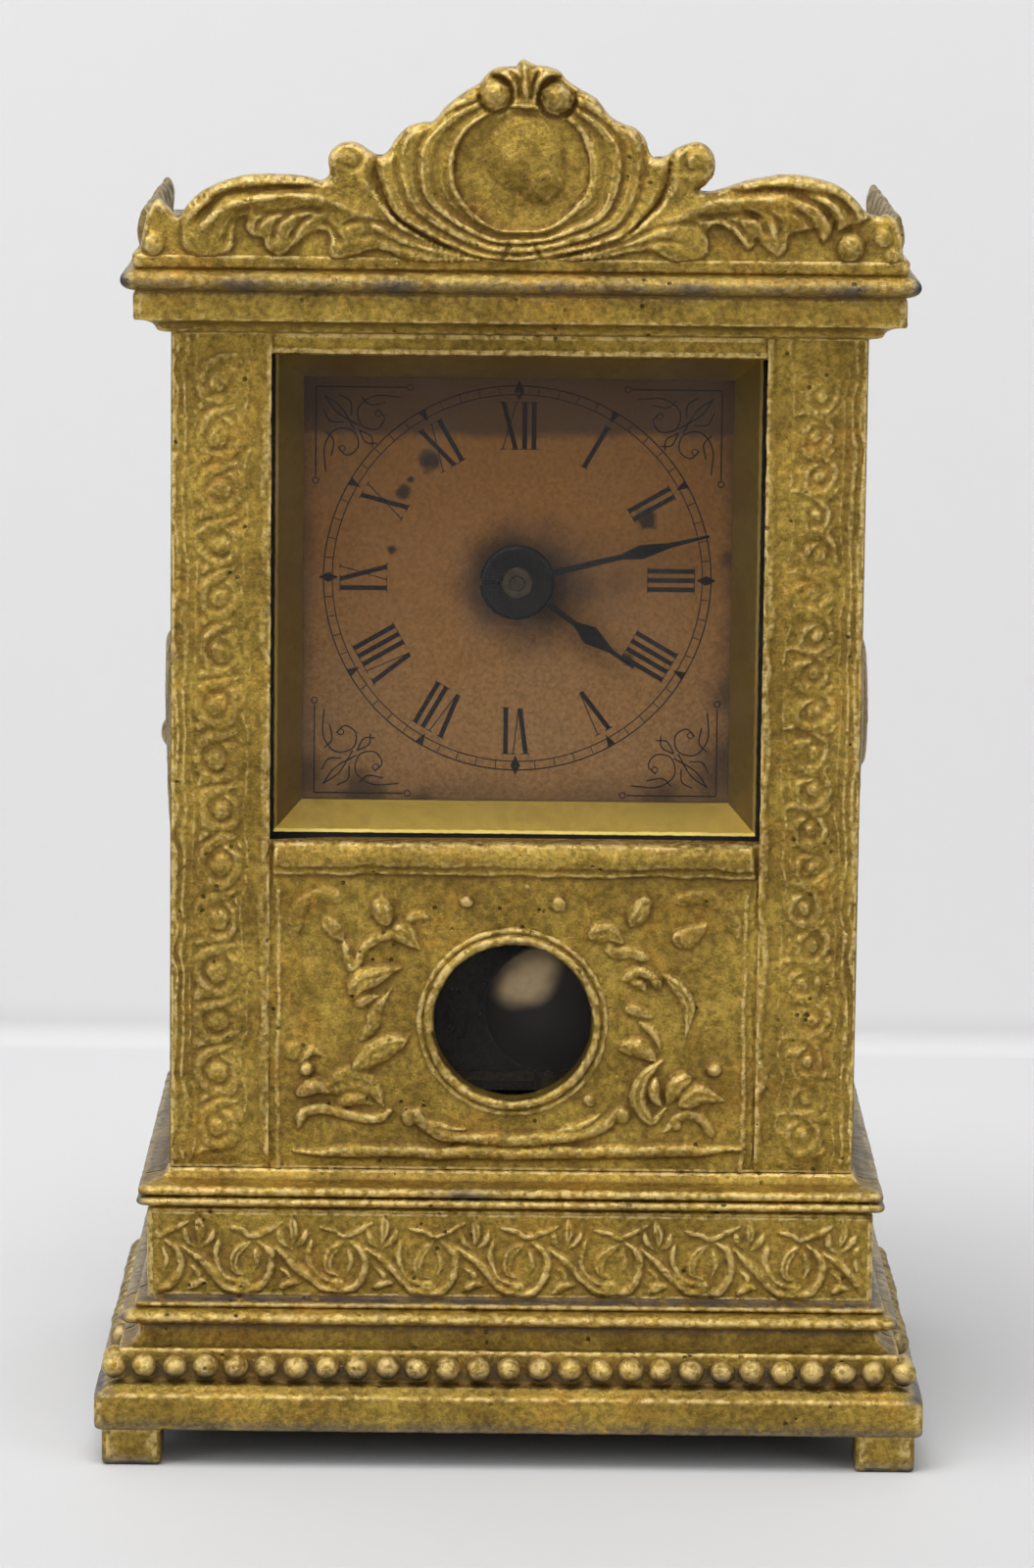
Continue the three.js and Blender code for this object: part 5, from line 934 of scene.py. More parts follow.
def mass(x, z, outline, rise, edge=0.45, swell=2.4):
    """A broad leaf or lump: steep at its edge, as cut in the pattern, and gently swelling further in."""
    ring = smooth_line(outline + outline[:1], 260)
    depth = reach_to(x, z, ring) * within(x, z, ring)
    steep, gentle = fade(depth, edge), fade(depth, swell)
    return rise * (0.65 * np.sqrt(1 - (1 - steep) ** 2) + 0.35 * (1 - (1 - gentle) ** 2))


def score(x, z, lines):
    """Soft ridges and grooves over a swelling; each line has points, a half-width and a height or depth."""
    total = np.zeros(len(x))
    for points, half, rise in lines:
        line = smooth_line(points, 48)
        near = ((abs(x - line[:, 0].mean()) < np.ptp(line[:, 0]) / 2 + 6)
                & (z > line[:, 1].min() - 3 * half) & (z < line[:, 1].max() + 3 * half))
        gap = np.hypot(x[near][:, None] - line[:, 0], z[near][:, None] - line[:, 1])
        share = gap.argmin(1) / 47
        ends = np.minimum(1, 5 * np.minimum(share, 1 - share) + 0.25)
        total[near] += rise * ends * bell(gap.min(1), half)
    return total


# The two leaves are alike but not the same, so each has its own outline, grooves and ridges.
left_leaf = [
    (-3.0, 109.3), (-6.5, 109.0), (-9.9, 109.15), (-11.65, 109.85), (-13.2, 110.05), (-14.3, 109.5),
    (-15.3, 109.1), (-16.7, 109.1), (-16.9, 110.2), (-16.9, 111.2), (-17.5, 111.6), (-18.6, 111.3),
    (-20.0, 110.05), (-20.7, 109.5), (-21.3, 109.3), (-22.0, 109.5), (-22.6, 109.95), (-22.9, 110.8),
    (-23.6, 111.0), (-24.1, 111.4), (-24.3, 112.1), (-24.2, 112.9), (-24.9, 112.6), (-25.25, 111.5),
    (-25.2, 110.2), (-26.0, 109.5), (-28.3, 109.3), (-29.8, 110.0), (-30.1, 112.0), (-31.0, 115.0),
    (-28.0, 118.0), (-20.0, 118.5), (-17.5, 120.5), (-13.2, 120.0), (-13.0, 117.6), (-12.8, 115.8),
    (-11.9, 113.9), (-10.2, 112.3), (-8.0, 110.9), (-5.0, 109.9),
]
right_leaf = [
    (3.0, 109.3), (5.0, 109.1), (8.6, 109.6), (10.1, 110.05), (11.5, 110.25), (12.6, 109.7), (13.5, 109.2),
    (14.8, 109.3), (16.2, 109.7), (16.6, 110.8), (16.4, 111.9), (17.2, 112.4), (18.7, 111.75),
    (19.5, 110.9), (20.0, 110.35), (20.5, 110.8), (20.8, 111.4), (21.6, 110.3), (22.5, 109.85),
    (23.3, 110.5), (23.8, 111.6), (24.7, 111.9), (25.8, 112.3), (26.0, 111.4), (26.5, 111.1), (27.1, 111.7),
    (27.5, 113.0), (27.8, 112.2), (29.0, 112.6), (30.0, 112.9), (31.0, 114.0), (30.0, 118.0), (20.0, 119.0),
    (17.6, 120.5), (13.2, 120.0), (13.1, 117.6), (12.8, 115.8), (11.9, 113.9), (10.2, 112.3), (8.0, 110.9),
    (5.0, 109.9),
]
leaf_lines = [
    ([(-17.4, 115.3), (-20.5, 115.5), (-23.4, 115.3), (-25.8, 114.9), (-27.5, 113.7), (-29.0, 111.8)], 0.36,
     -0.75),
    ([(-17.2, 113.4), (-19.0, 113.5), (-21.2, 113.3), (-23.2, 113.3)], 0.28, -0.4),
    ([(-12.0, 111.6), (-14.5, 113.4), (-17.5, 114.4), (-21.0, 114.7), (-24.0, 114.2)], 0.5, 0.32),
    ([(-20.0, 114.9), (-23.5, 114.6), (-26.0, 113.7), (-27.5, 112.4), (-28.2, 111.4)], 0.42, 0.42),
    ([(-23.8, 113.9), (-25.0, 113.0), (-25.8, 111.6), (-26.0, 110.0)], 0.32, -0.35),
    ([(-18.4, 113.1), (-19.6, 112.2), (-20.3, 110.8)], 0.26, -0.4),
    ([(-20.4, 113.2), (-21.6, 112.2), (-22.0, 110.6)], 0.24, -0.36),
    ([(-22.2, 113.2), (-23.1, 112.3), (-23.3, 111.4)], 0.22, -0.3),
    ([(-17.6, 112.6), (-16.6, 111.9), (-15.8, 110.4)], 0.28, -0.35),
    ([(-6.0, 110.1), (-9.0, 110.9), (-12.0, 112.3), (-14.6, 112.6), (-16.0, 112.0)], 0.26, -0.32),
    ([(-7.0, 109.6), (-10.0, 110.3), (-12.8, 111.4), (-14.6, 111.2)], 0.26, -0.25),
    ([(-4.5, 109.9), (-8.0, 111.1), (-11.2, 113.0), (-13.2, 115.2), (-13.8, 117.0)], 0.42, 0.28),
    ([(16.6, 115.2), (19.8, 115.5), (22.6, 115.75), (25.4, 115.4), (27.6, 115.0), (28.9, 114.0),
      (29.4, 112.8)], 0.34,
     -0.75),
    ([(23.8, 115.3), (25.4, 114.8), (26.6, 114.0), (27.3, 112.8)], 0.3, -0.6),
    ([(24.6, 115.6), (26.4, 115.1), (27.6, 114.1), (28.4, 112.8)], 0.3, 0.35),
    ([(15.0, 113.2), (17.4, 113.3), (20.0, 113.6), (22.2, 113.0)], 0.28, -0.42),
    ([(12.0, 111.8), (14.6, 113.6), (17.4, 114.5), (20.6, 114.9), (24.0, 114.7)], 0.55, 0.34),
    ([(17.6, 113.1), (19.2, 112.6), (20.1, 111.6), (20.2, 110.9)], 0.26, -0.35),
    ([(21.2, 114.0), (22.6, 113.0), (23.0, 111.4)], 0.28, -0.4),
    ([(19.6, 113.9), (21.2, 113.0), (21.9, 111.4)], 0.26, -0.36),
    ([(23.6, 114.2), (25.0, 113.3), (25.6, 112.4)], 0.28, -0.4),
    ([(6.0, 110.1), (9.0, 110.9), (12.0, 112.2), (14.6, 112.8), (16.0, 112.3)], 0.26, -0.32),
    ([(7.0, 109.8), (10.0, 110.6), (12.6, 111.2), (14.8, 110.8)], 0.26, -0.28),
    ([(4.5, 109.9), (8.0, 111.1), (11.2, 113.0), (13.2, 115.2), (13.9, 117.0)], 0.42, 0.28),
    ([(-16.3, 118.6), (-15.2, 118.9), (-14.3, 118.3), (-14.5, 117.3), (-15.4, 117.3)], 0.3, -0.32),
    ([(16.2, 118.9), (15.0, 119.1), (14.1, 118.3), (14.6, 117.3), (15.5, 117.5)], 0.3, -0.32),
    ([(-0.3, 123.2), (-0.5, 124.8), (-1.3, 126.0)], 0.2, -0.5),
    ([(0.7, 123.2), (0.9, 124.8), (1.5, 126.0)], 0.2, -0.5),
    ([(0.2, 123.4), (0.1, 125.0), (0.0, 126.6)], 0.26, 0.35),
    ([(-0.9, 124.6), (-1.8, 125.5), (-2.8, 125.6)], 0.24, 0.35),
    ([(1.3, 124.7), (2.2, 125.5), (3.2, 125.5)], 0.24, 0.35),
    ([(-1.7, 109.1), (-1.2, 110.2), (-0.9, 111.0)], 0.22, -0.35),
    ([(1.8, 109.1), (1.4, 110.2), (1.1, 111.0)], 0.22, -0.35),
]
crest_balls = [
    (-2.45, 123.7, 1.35, 1.7), (2.95, 123.5, 1.4, 1.75), (-28.3, 110.8, 1.25, 1.3),
    (29.0, 110.7, 1.4, 1.45), (-32.4, 110.4, 1.1, 0.9), (31.8, 111.6, 1.0, 0.75), (32.6, 110.0, 0.8, 0.5),
]
OVAL_X, OVAL_Z, OVAL_WIDE, OVAL_TALL, FLUTE_END = 0.0, 117.3, 6.0, 5.4, 13.0
FLUTES = (
    (6.0, 1.0), (6.4, 1.15), (6.9, 0.75), (7.4, 0.55), (7.8, 0.6), (8.2, 0.95), (8.8, 1.05), (9.2, 0.6),
    (9.8, 1.0), (10.6, 1.1), (11.2, 0.6), (11.6, 0.85), (12.4, 0.95), (12.8, 0.6), (13.0, 0.2),
)
shell = [
    (-0.9, 122.8), (0.2, 122.4), (1.3, 122.8), (2.2, 124.9), (3.7, 125.6), (3.2, 127.5), (0.0, 128.4),
    (-3.2, 127.4), (-3.4, 125.5), (-1.6, 124.9),
]


def oval_size(x, z):
    """The half-width of the oval through each point; the ovals widen more than they grow in height."""
    low, high = np.full(len(x), 0.5), np.full(len(x), 40.0)
    for _ in range(24):
        size = (low + high) / 2
        tall = OVAL_TALL + 0.371 * (size - OVAL_WIDE)
        outside = ((x - OVAL_X) / size) ** 2 + ((z - OVAL_Z) / np.maximum(tall, 0.5)) ** 2 > 1
        low, high = np.where(outside, size, low), np.where(outside, high, size)
    return size


def crest_height(x, z):
    """Cartouche, flutes, leaves and balls; the whole rounds over towards the cut edge."""
    size = oval_size(x, z)
    sway = 0.22 * np.sin(0.55 * x + 0.4 * z) + 0.15 * np.sin(0.9 * z - 0.3 * x)
    flute = np.interp(size + sway * (size > 7.2), *zip(*FLUTES))
    flute -= 0.25 * bell(size - 6.3, 0.28) * (x > 3.2)
    leaves = np.maximum(mass(x, z, left_leaf, 1.15), mass(x, z, right_leaf, 1.15))
    leaves = leaves * (size > FLUTE_END - 0.1)
    height = np.maximum(flute * (size > OVAL_WIDE), leaves)
    field = fade(OVAL_WIDE + 0.12 - size, 0.3)
    dish = 0.12 + 0.3 * fade(size, OVAL_WIDE) ** 3
    boss = mound(np.hypot((x - 0.2) / 3.6, (z - 118.6) / 3.5), 1) ** 0.7
    boss = np.maximum(boss, 0.8 * mound(np.hypot((x - 1.5) / 2.4, (z - 116.4) / 2.0), 1) ** 0.7)
    boss *= 1.05 + 0.2 * np.sin(x * 1.5 + 0.4) * np.sin(z * 1.2 + 1.0)
    height = height * (1 - field) + field * (dish + boss)
    height = np.maximum(height, mass(x, z, shell, 1.1, 0.35, 1.5))
    for ball_x, ball_z, radius, _ in crest_balls[:2]:
        height *= 1 - 0.75 * bell(np.hypot(x - ball_x, z - ball_z) - radius - 0.15, 0.22)
    height = np.maximum(height, carve(x, z, [], crest_balls))
    height += score(x, z, leaf_lines) * (height > 0.3)
    edge = fade(reach_to(x, z, outline_points[::2]), 0.75)
    return height * (0.3 + 0.7 * np.sqrt(1 - (1 - edge) ** 2)) - 0.35 * (1 - edge) ** 2


relief("front_crest", (-33.9, 108.7), (33.9, 126.9), CREST_FACE, CREST_BACK, 0.13, crest_height, 31,
       keep=lambda x, z: within(x, z, crest_ring), snap=to_outline, warp=0.2, worn=0.2)

# Side castings
# Each side is a casting of its own with the same mouldings, held between the front and the back.
# It has a raised ornament in the middle and a low lobed gallery along its top.
SIDE_END = 19.5
side_outside = base_outside[:-1] + [(0, BODY_BOTTOM), (0, BODY_TOP - 0.05)] + cornice_outside[1:]
side_inside = [(1.0, CASE_TOP), (1.0, 108.5), (-WALL, 108.5), (-WALL, BODY_BOTTOM)] + base_inside[1:]
side_loop = np.concatenate([spread(side_outside, 0.3), np.array(side_inside)])


def side_swell(y, z):
    """The flat leaf ornament in the middle of the side, and faint waves left by the casting."""
    oval = np.hypot(y / 11.5, (z - 64) / 13.8)
    swelling = 1.45 * mound(oval, 1) ** 0.7
    swirl = carve(y, z, [
        ([(-10, 60), (-6, 53), (2, 51.5), (8, 56), (9.5, 64), (5, 71), (-2, 71), (-5, 66), (-2, 61.5),
          (3, 62.5)],
         1.0, 0.55, "line", 0),
        ([(-9.5, 62), (-9, 70), (-4, 76), (3, 77)], 1.2, 0.6, "leaf", 0.2),
        ([(9, 60), (11, 66), (9, 73), (4, 77.5)], 1.2, 0.6, "leaf", 0.2),
        ([(-6, 54), (-1, 49.5), (6, 51)], 1.1, 0.5, "leaf", 0.2),
        ([(3, 62.5), (0, 66), (-1, 70)], 0.8, 0.5, "leaf", 0)], [(2.6, 63.2, 1.4, 0.8)])
    return np.minimum(swelling, 1.2) * 0.9 + swirl * np.clip(1.25 - oval, 0, 1) ** 0.3


for side, label in ((-1, "left"), (1, "right")):
    def side_path(u, out, z, side=side):
        y = -SIDE_END + 2 * SIDE_END * u
        flat = (abs(out) < 0.02) & (z > 45) & (z < 85)
        return np.stack([side * (HALF_WIDTH + out + flat * side_swell(y * side, z)), y, z], 1)

    piece = cast_piece("side_casting_" + label, round_corner(side_loop, 39, 0.22, side_path),
                       label + "_side_casting", SIDE_GOLD, soften=2, lumps=0.06, seed=41 + side,
                       inside=DARK_IRON)
    rubbed_ends(piece, lambda x, y, z: 0.5 * bell(z - PLINTH_BOTTOM, 0.8)
                + 0.5 * bell(z - CORNICE_Z, 0.8))
    count = round(2 * BEAD_Y / BEAD_PITCH)
    rows = [(side * BEAD_X, -BEAD_Y + 2 * BEAD_Y * i / count) for i in range(count + 1)]
    rows = [(x, y) for x, y in rows if abs(y) < SIDE_END - 1.0]
    cast_piece("side_beads_" + label, beads(rows, 43 + side), label + "_side_casting", SIDE_GOLD,
               lumps=0.05, seed=47)

    def gallery_place(u, v, side=side):
        y = -SIDE_END + 2 * SIDE_END * u
        top = CASE_TOP + 2.3 + 1.1 * abs(np.sin(y * math.pi / 5.6)) ** 0.7
        turn = v * 2 * math.pi
        out = LEDGE_OUT - 0.75 + 0.65 * np.cos(turn) * (0.8 + 0.25 * np.sin(y * 2.4))
        z = CASE_TOP - 0.4 + (top - CASE_TOP + 0.4) * (0.5 + 0.5 * np.sin(turn))
        return np.stack([side * (HALF_WIDTH + out), y, z], 1)

    bm = sealed(fine_sheet(200, 28, gallery_place))
    cast_piece("side_gallery_" + label, bm, label + "_side_casting", SIDE_GOLD,
               lumps=0.12, seed=53 + side)

# Back casting
# The back is a fourth casting: the same mouldings run round its corners, with a tall opening for
# reaching the movement. Its paint is darker and greyer than the front's.
BACK_HALF, BACK_LOW, BACK_HIGH, BACK_STEP = 22.3, 40.0, 98.0, 0.4


def back_path(u, out, z):
    """Across the back, the front's path turned round."""
    placed = front_path(u, out, z)
    placed[:, 1] *= -1
    return placed


for loop, run, label, seed in ((base_loop, 88, "base", 61), (cornice_loop, 80, "cornice", 67)):
    piece = cast_piece("back_casting_" + label, round_corner(loop, run, 0.4, back_path), "back_casting",
                       SIDE_GOLD, soften=3, lumps=0.07, seed=seed, inside=DARK_IRON)
    rubbed_ends(piece, lambda x, y, z: 0.5 * fade(abs(x) - 33.0, 2.0)
                + 0.4 * bell(z - PLINTH_BOTTOM, 0.8))


def back_place(u, v):
    """The whole back wall."""
    return np.stack([HALF_WIDTH * (2 * u - 1), HALF_DEPTH + 0 * u,
                     BODY_BOTTOM - 0.1 + (BODY_TOP - BODY_BOTTOM + 0.2) * v], 1)


bm = fine_sheet(int(2 * HALF_WIDTH / BACK_STEP), int((BODY_TOP - BODY_BOTTOM) / BACK_STEP), back_place)
opening = []
for face in bm.faces:
    centre = face.calc_center_median() / MM
    if abs(centre.x) < BACK_HALF and BACK_LOW < centre.z < BACK_HIGH:
        opening.append(face)
bmesh.ops.delete(bm, geom=opening, context="FACES")
close_back(bm, -RETURN_Y - BACK_STEP, rows=7)
cast_piece("back_wall", bm, "back_casting", SIDE_GOLD, soften=1, lumps=0.09, seed=71,
           inside=DARK_IRON)

# Tin covers, steel screws and brass fittings at the back
# A tin sheet closes the back, another the top. The hand-setting knob and the winding key keep their
# solids' shapes, with edges eased as stamping and turning leave them; screws and tie bolts get slotted
# heads.


def metal_group():
    """Worked metal: fine scratches, tarnish in clouds and a few spots, on a base colour."""
    group, given, result = node_group(
        "worked_metal",
        [("Base", "Color", (0.5, 0.5, 0.5, 1)), ("Tarnish", "Color", (0.2, 0.15, 0.1, 1)),
         ("Amount", "Float", 0.5), ("Polish", "Float", 0.3), ("Size", "Float", 4.0)],
        [("Color", "Color"), ("Roughness", "Float"), ("Height", "Float")])
    link = group.links.new
    clouds = add_node(group, "TexNoise", Detail=5.0, Roughness=0.65)
    from_object(group, clouds.inputs["Vector"])
    link(calc(group, "DIVIDE", 1000.0, given.outputs["Size"]), clouds.inputs["Scale"])
    cloud = ramp(group, clouds.outputs["Fac"], 0.38, 0.68)
    spots_at = ramp(group, noise(group, 0.9, 5.0, 0.75), 0.62, 0.72)
    amount = times(group, calc(group, "MAXIMUM", cloud, spots_at), given.outputs["Amount"])
    link(blend_colour(group, amount, given.outputs["Base"], given.outputs["Tarnish"]),
         result.inputs["Color"])
    rough = plus(group, given.outputs["Polish"], times(group, amount, 0.25))
    link(plus(group, rough, ramp(group, noise(group, 0.25), 0.3, 0.7, -0.03, 0.05)),
         result.inputs["Roughness"])
    stretch = add_node(group, "Mapping", vector_type="POINT")
    stretch.inputs["Scale"].default_value = (1.0, 1.0, 14.0)
    from_object(group, stretch.inputs["Vector"])
    lines = add_node(group, "TexNoise", Scale=900.0, Detail=3.0)
    link(stretch.outputs["Vector"], lines.inputs["Vector"])
    link(plus(group, lines.outputs["Fac"], times(group, spots_at, -0.6)), result.inputs["Height"])
    return group


METAL = metal_group()


def metal(name, base, tarnish, amount, polish, size=4.0, bump=0.006):
    """A plain metal finish."""
    return finish_material(name, METAL, {"Base": base, "Tarnish": tarnish, "Amount": amount,
                                         "Polish": polish, "Size": size}, bump=bump, Metallic=1.0)


TIN = metal("dull_tin", (0.36, 0.35, 0.32), (0.13, 0.095, 0.06), 0.75, 0.42, 7.0, 0.012)
STEEL = metal("bright_steel", (0.42, 0.43, 0.44), (0.16, 0.12, 0.09), 0.4, 0.28)
BRASS = metal("tarnished_brass", (0.4, 0.285, 0.06), (0.16, 0.105, 0.022), 0.6, 0.3, 6.0)
DARK_BRASS = metal("dark_turned_brass", (0.075, 0.058, 0.034), (0.03, 0.024, 0.018), 0.7, 0.36, 1.2)
BLUED = metal("blued_steel", (0.011, 0.011, 0.0115), (0.022, 0.017, 0.014), 0.5, 0.36, 2.0)


def cad_finish(material, slot, *names):
    """CAD pieces whose shape is right get their finish."""
    for name in names:
        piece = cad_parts[name]
        piece.data.materials.clear()
        piece.data.materials.append(material)


def eased(name, material, slot, width, body):
    """A CAD piece with its edges rounded."""
    bm = bmesh.new()
    bm.from_mesh(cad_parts[name].data)
    bmesh.ops.remove_doubles(bm, verts=bm.verts, dist=1e-6)
    bmesh.ops.dissolve_limit(bm, angle_limit=math.radians(1), verts=bm.verts, edges=bm.edges)
    keen = [edge for edge in bm.edges if edge.is_manifold and edge.calc_face_angle() > math.radians(35)]
    bmesh.ops.bevel(bm, geom=keen, offset=width * MM, segments=3, profile=0.5, affect="EDGES",
                    material=-1, clamp_overlap=True)
    return put(name + "_eased", bm, material, body=body, slot=slot, replaces=[name], sharp=40)


cad_finish(TIN, "tin", "back_cover", "top_plate", "dial_plate")
eased("setting_knob", BRASS, "brass", 0.12, "minute_body")
eased("winding_key", BRASS, "brass", 0.2, "winding_body")


def screw_head(name, centre, axis, radius, height, old):
    """A cheese-head screw with a slot, its shank hidden in the hole."""
    profile = [(0, 0), (radius * 0.55, 0), (radius * 0.82, 0.05), (radius, 0.22), (radius, height),
               (0, height)]
    bm = spun(profile, 0, 0, 28)
    for offset in (-0.2, -0.16, 0.16, 0.2):
        cut_at = Vector((0, 0, offset * radius / 1.3)) * MM
        bmesh.ops.bisect_plane(bm, geom=list(bm.verts) + list(bm.edges) + list(bm.faces), plane_co=cut_at,
                               plane_no=(0, 0, 1))
    for vert in bm.verts:
        if abs(vert.co.z) <= 0.165 * radius / 1.3 * MM and vert.co.y < 0.3 * height * MM:
            vert.co.y += 0.42 * height * MM
    turn = Vector((0, -1, 0)).rotation_difference(Vector(axis)).to_matrix().to_4x4()
    tilt = Matrix.Rotation(0.7 + centre[0] * 0.3 + centre[2] * 0.11, 4, "Y")
    bm.transform(Matrix.Translation(Vector(centre) * MM) @ turn @ tilt)
    put(name, bm, STEEL, slot="steel", replaces=old, sharp=35)


def over_screw(node, axis, height):
    """A slotted head in place of a CAD screw's head; the solid's box gives its place."""
    low, high = (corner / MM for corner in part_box(node))
    centre = (low + high) / 2
    along = 1 if abs(axis[1]) else 2
    top = high[along] if axis[along] > 0 else low[along]
    centre[along] = top
    radius = (high[0] - low[0]) / 2
    screw_head(node + "_head", centre, axis, radius, height, [node])


def numbered(name, count):
    """The names of alike pieces."""
    return ["%s_%d" % (name, number) for number in range(1, count + 1)]


for number in (1, 2):
    over_screw("cover_screw_%d" % number, (0, 1, 0), 0.7)
    over_screw("top_screw_%d" % number, (0, 0, 1), 0.7)
for name in numbered("tie_bolt", 4):
    over_screw(name, (0, 1, 0), 1.2)

# Movement
# Two brass plates held by pillars carry the spring barrel, three wheels, the escape wheel and the
# motion work. It is hidden but for what shows under the case and in the round window.
cad_finish(BRASS, "brass", "movement_front_plate", "movement_back_plate", *numbered("pillar", 4),
           "minute_wheel", "hour_wheel", "barrel", "barrel_cover", "centre_wheel", "third_wheel",
           "fourth_wheel", "escape_wheel", "rating_nut")
cad_finish(STEEL, "steel", *numbered("dial_screw", 4), "verge_stud",
           "minute_wheel_stud", "click_screw", "click_spring", "mainspring", "centre_pinion", "third_arbor",
           "fourth_arbor", "escape_arbor", "winding_arbor", "ratchet_wheel", "click", "verge",
           "pendulum_rod")

# Pendulum bob
# A nickel-plated disc, domed on both faces, hangs on the rod behind the round window. A painted pool of
# light lies where the window's light falls on it, and the plating round it is painted nearly black as
# shade.
BOB_X, BOB_Z, BOB_Y, BOB_R, BOB_HALF = 3.4, 38.6, -8.75, 6.0, 1.3
LIT_SPOT_X, LIT_SPOT_Z, LIT_SPOT_R = 0.5, 43.1, 3.7
dome = [(BOB_R * math.sin(a), BOB_HALF * (0.12 + 0.88 * math.cos(a)))
        for a in np.linspace(0, math.pi / 2, 30)]
bob_profile = [(r, BOB_Y - d) for r, d in dome] + [(r, BOB_Y + d) for r, d in reversed(dome)]


def spot(tree, x, z, radius, soft, wobble):
    """A soft round mask at a place on the dial, its edge made uneven."""
    gap = add_node(tree, "VectorMath", operation="DISTANCE")
    flat = add_node(tree, "VectorMath", operation="MULTIPLY")
    flat.inputs[1].default_value = (1, 0, 1)
    from_object(tree, flat.inputs[0])
    tree.links.new(flat.outputs[0], gap.inputs[0])
    gap.inputs[1].default_value = (x * MM, 0, z * MM)
    reach = times(tree, gap.outputs["Value"], 1000.0)
    uneven = times(tree, calc(tree, "SUBTRACT", noise(tree, max(radius, 1.0)), 0.5), radius * wobble * 2)
    return ramp(tree, plus(tree, reach, uneven), radius - soft, radius + soft, 1.0, 0.0)


def bob_material():
    """Plating with a warm painted pool of light in one place and painted shade, nearly black, round it."""
    material = finish_material("nickel_plate_painted_light", METAL, {
        "Base": (0.72, 0.53, 0.29), "Tarnish": (0.5, 0.36, 0.2), "Amount": 0.5, "Polish": 0.36,
        "Size": 2.0},
                               bump=0.002, Metallic=1.0)
    tree = material.node_tree
    shader = tree.nodes["Principled BSDF"]
    plain = shader.inputs["Base Color"].links[0].from_socket
    # Painted light: a warm lit spot where the window's light falls, and painted shade round it.
    painted_light_spot = spot(tree, LIT_SPOT_X, LIT_SPOT_Z, LIT_SPOT_R, 1.1, 0.12)
    tree.links.new(blend_colour(tree, painted_light_spot, (0.022, 0.02, 0.018), plain), shader.inputs["Base Color"])
    return material


put("pendulum_bob_polished", spun(bob_profile, BOB_X, BOB_Z, 96), bob_material(), body="pendulum_body",
    slot="nickel", replaces=["pendulum_bob"])

# Dial paper
# The dial is printed on paper that has browned with age, more so under the hands, with dark specks and a
# few stains; painted shade darkens its upper part and its top and side edges. The paper is the CAD sheet;
# the print is laid on it.
PAPER_Y, DIAL_Z = -14.7, 79.5


def paper_material():
    """Brown, fibrous, stained paper, with painted shade towards its top and along its top and side edges.
    """
    material, tree, shader = new_material("browned_paper", 0.85, 0.06)
    place = axes(tree)
    level = times(tree, place["Z"], 1000.0)
    uneven = times(tree, calc(tree, "SUBTRACT", noise(tree, 6.0, 5.0), 0.5), 14.0)
    # Painted shade: the paper is painted darker towards the top, where the case shades it, and lighter
    # towards the bottom.
    painted_top_shade = ramp(tree, plus(tree, level, uneven), 86.0, 64.0)
    colour = blend_colour(tree, painted_top_shade, (0.225, 0.1, 0.021), (0.255, 0.137, 0.048))
    fibres = ramp(tree, noise(tree, 0.4, 6.0, 0.8), 0.36, 0.64)
    colour = blend_colour(tree, times(tree, fibres, 0.6), colour, (0.1, 0.045, 0.012))
    specks = ramp(tree, noise(tree, 0.7, 3.0, 0.8), 0.66, 0.75)
    colour = blend_colour(tree, times(tree, specks, 0.5), colour, (0.07, 0.035, 0.018))
    # The first stain, round the hub, is painted shade round the hub as well as browning under the hands.
    stains = (
        (0.3, 79.3, 4.8, 2.6, 0.88, 0.5), (-8.0, 90.2, 0.95, 0.4, 0.95, 0.7),
        (-10.4, 87.3, 0.6, 0.3, 0.9, 0.8), (-9.7, 88.5, 0.3, 0.15, 0.9, 0.8),
        (-11.4, 82.1, 0.42, 0.2, 0.9, 0.9), (11.6, 85.1, 0.95, 0.35, 0.92, 0.7),
        (-13.8, 59.9, 1.7, 1.1, 0.75, 0.9), (-8.5, 59.0, 0.9, 0.7, 0.7, 0.9),
        (13.3, 59.8, 1.6, 1.2, 0.6, 0.9), (18.8, 62.5, 2.4, 1.8, 0.65, 0.8),
        (19.2, 69.0, 1.7, 1.3, 0.6, 0.8), (19.3, 81.5, 0.9, 0.6, 0.6, 0.9),
        (-19.0, 61.5, 1.6, 1.2, 0.6, 0.8), (4.2, 78.0, 5.0, 3.5, 0.3, 0.9),
        (10.1, 72.3, 0.5, 0.25, 0.8, 0.8), (6.3, 78.6, 1.2, 1.0, 0.35, 0.5),
        (9.3, 79.1, 0.9, 0.9, 0.3, 0.5), (-18.6, 95.5, 2.2, 1.6, 0.5, 0.8),
    )
    for x, z, radius, soft, strength, wobble in stains:
        mask = times(tree, spot(tree, x, z, radius, soft, wobble), strength)
        colour = blend_colour(tree, mask, colour, (0.02, 0.011, 0.007))
    across = calc(tree, "ABSOLUTE", times(tree, place["X"], 1000.0), 0.0)
    # Painted shadow along the paper's top edge and side edges, where the case and bezel shade it; the paper
    # is also darker along its bottom edge.
    dark = None
    for measure, ripple, start, end, strength in (
            (level, 0.12, 92.0, 93.2, 0.78), (level, 0.3, 62.0, 58.5, 0.45),
            (across, 0.2, 17.6, 19.8, 0.55)):
        wavy = plus(tree, measure, times(tree, uneven, ripple))
        band = times(tree, ramp(tree, wavy, start, end), strength)
        dark = band if dark is None else calc(tree, "MAXIMUM", dark, band)
    colour = blend_colour(tree, dark, colour, (0.04, 0.023, 0.014))
    tree.links.new(colour, shader.inputs["Base Color"])
    bump_up(tree, shader, noise(tree, 0.3, 5.0, 0.7), 0.02)
    return material


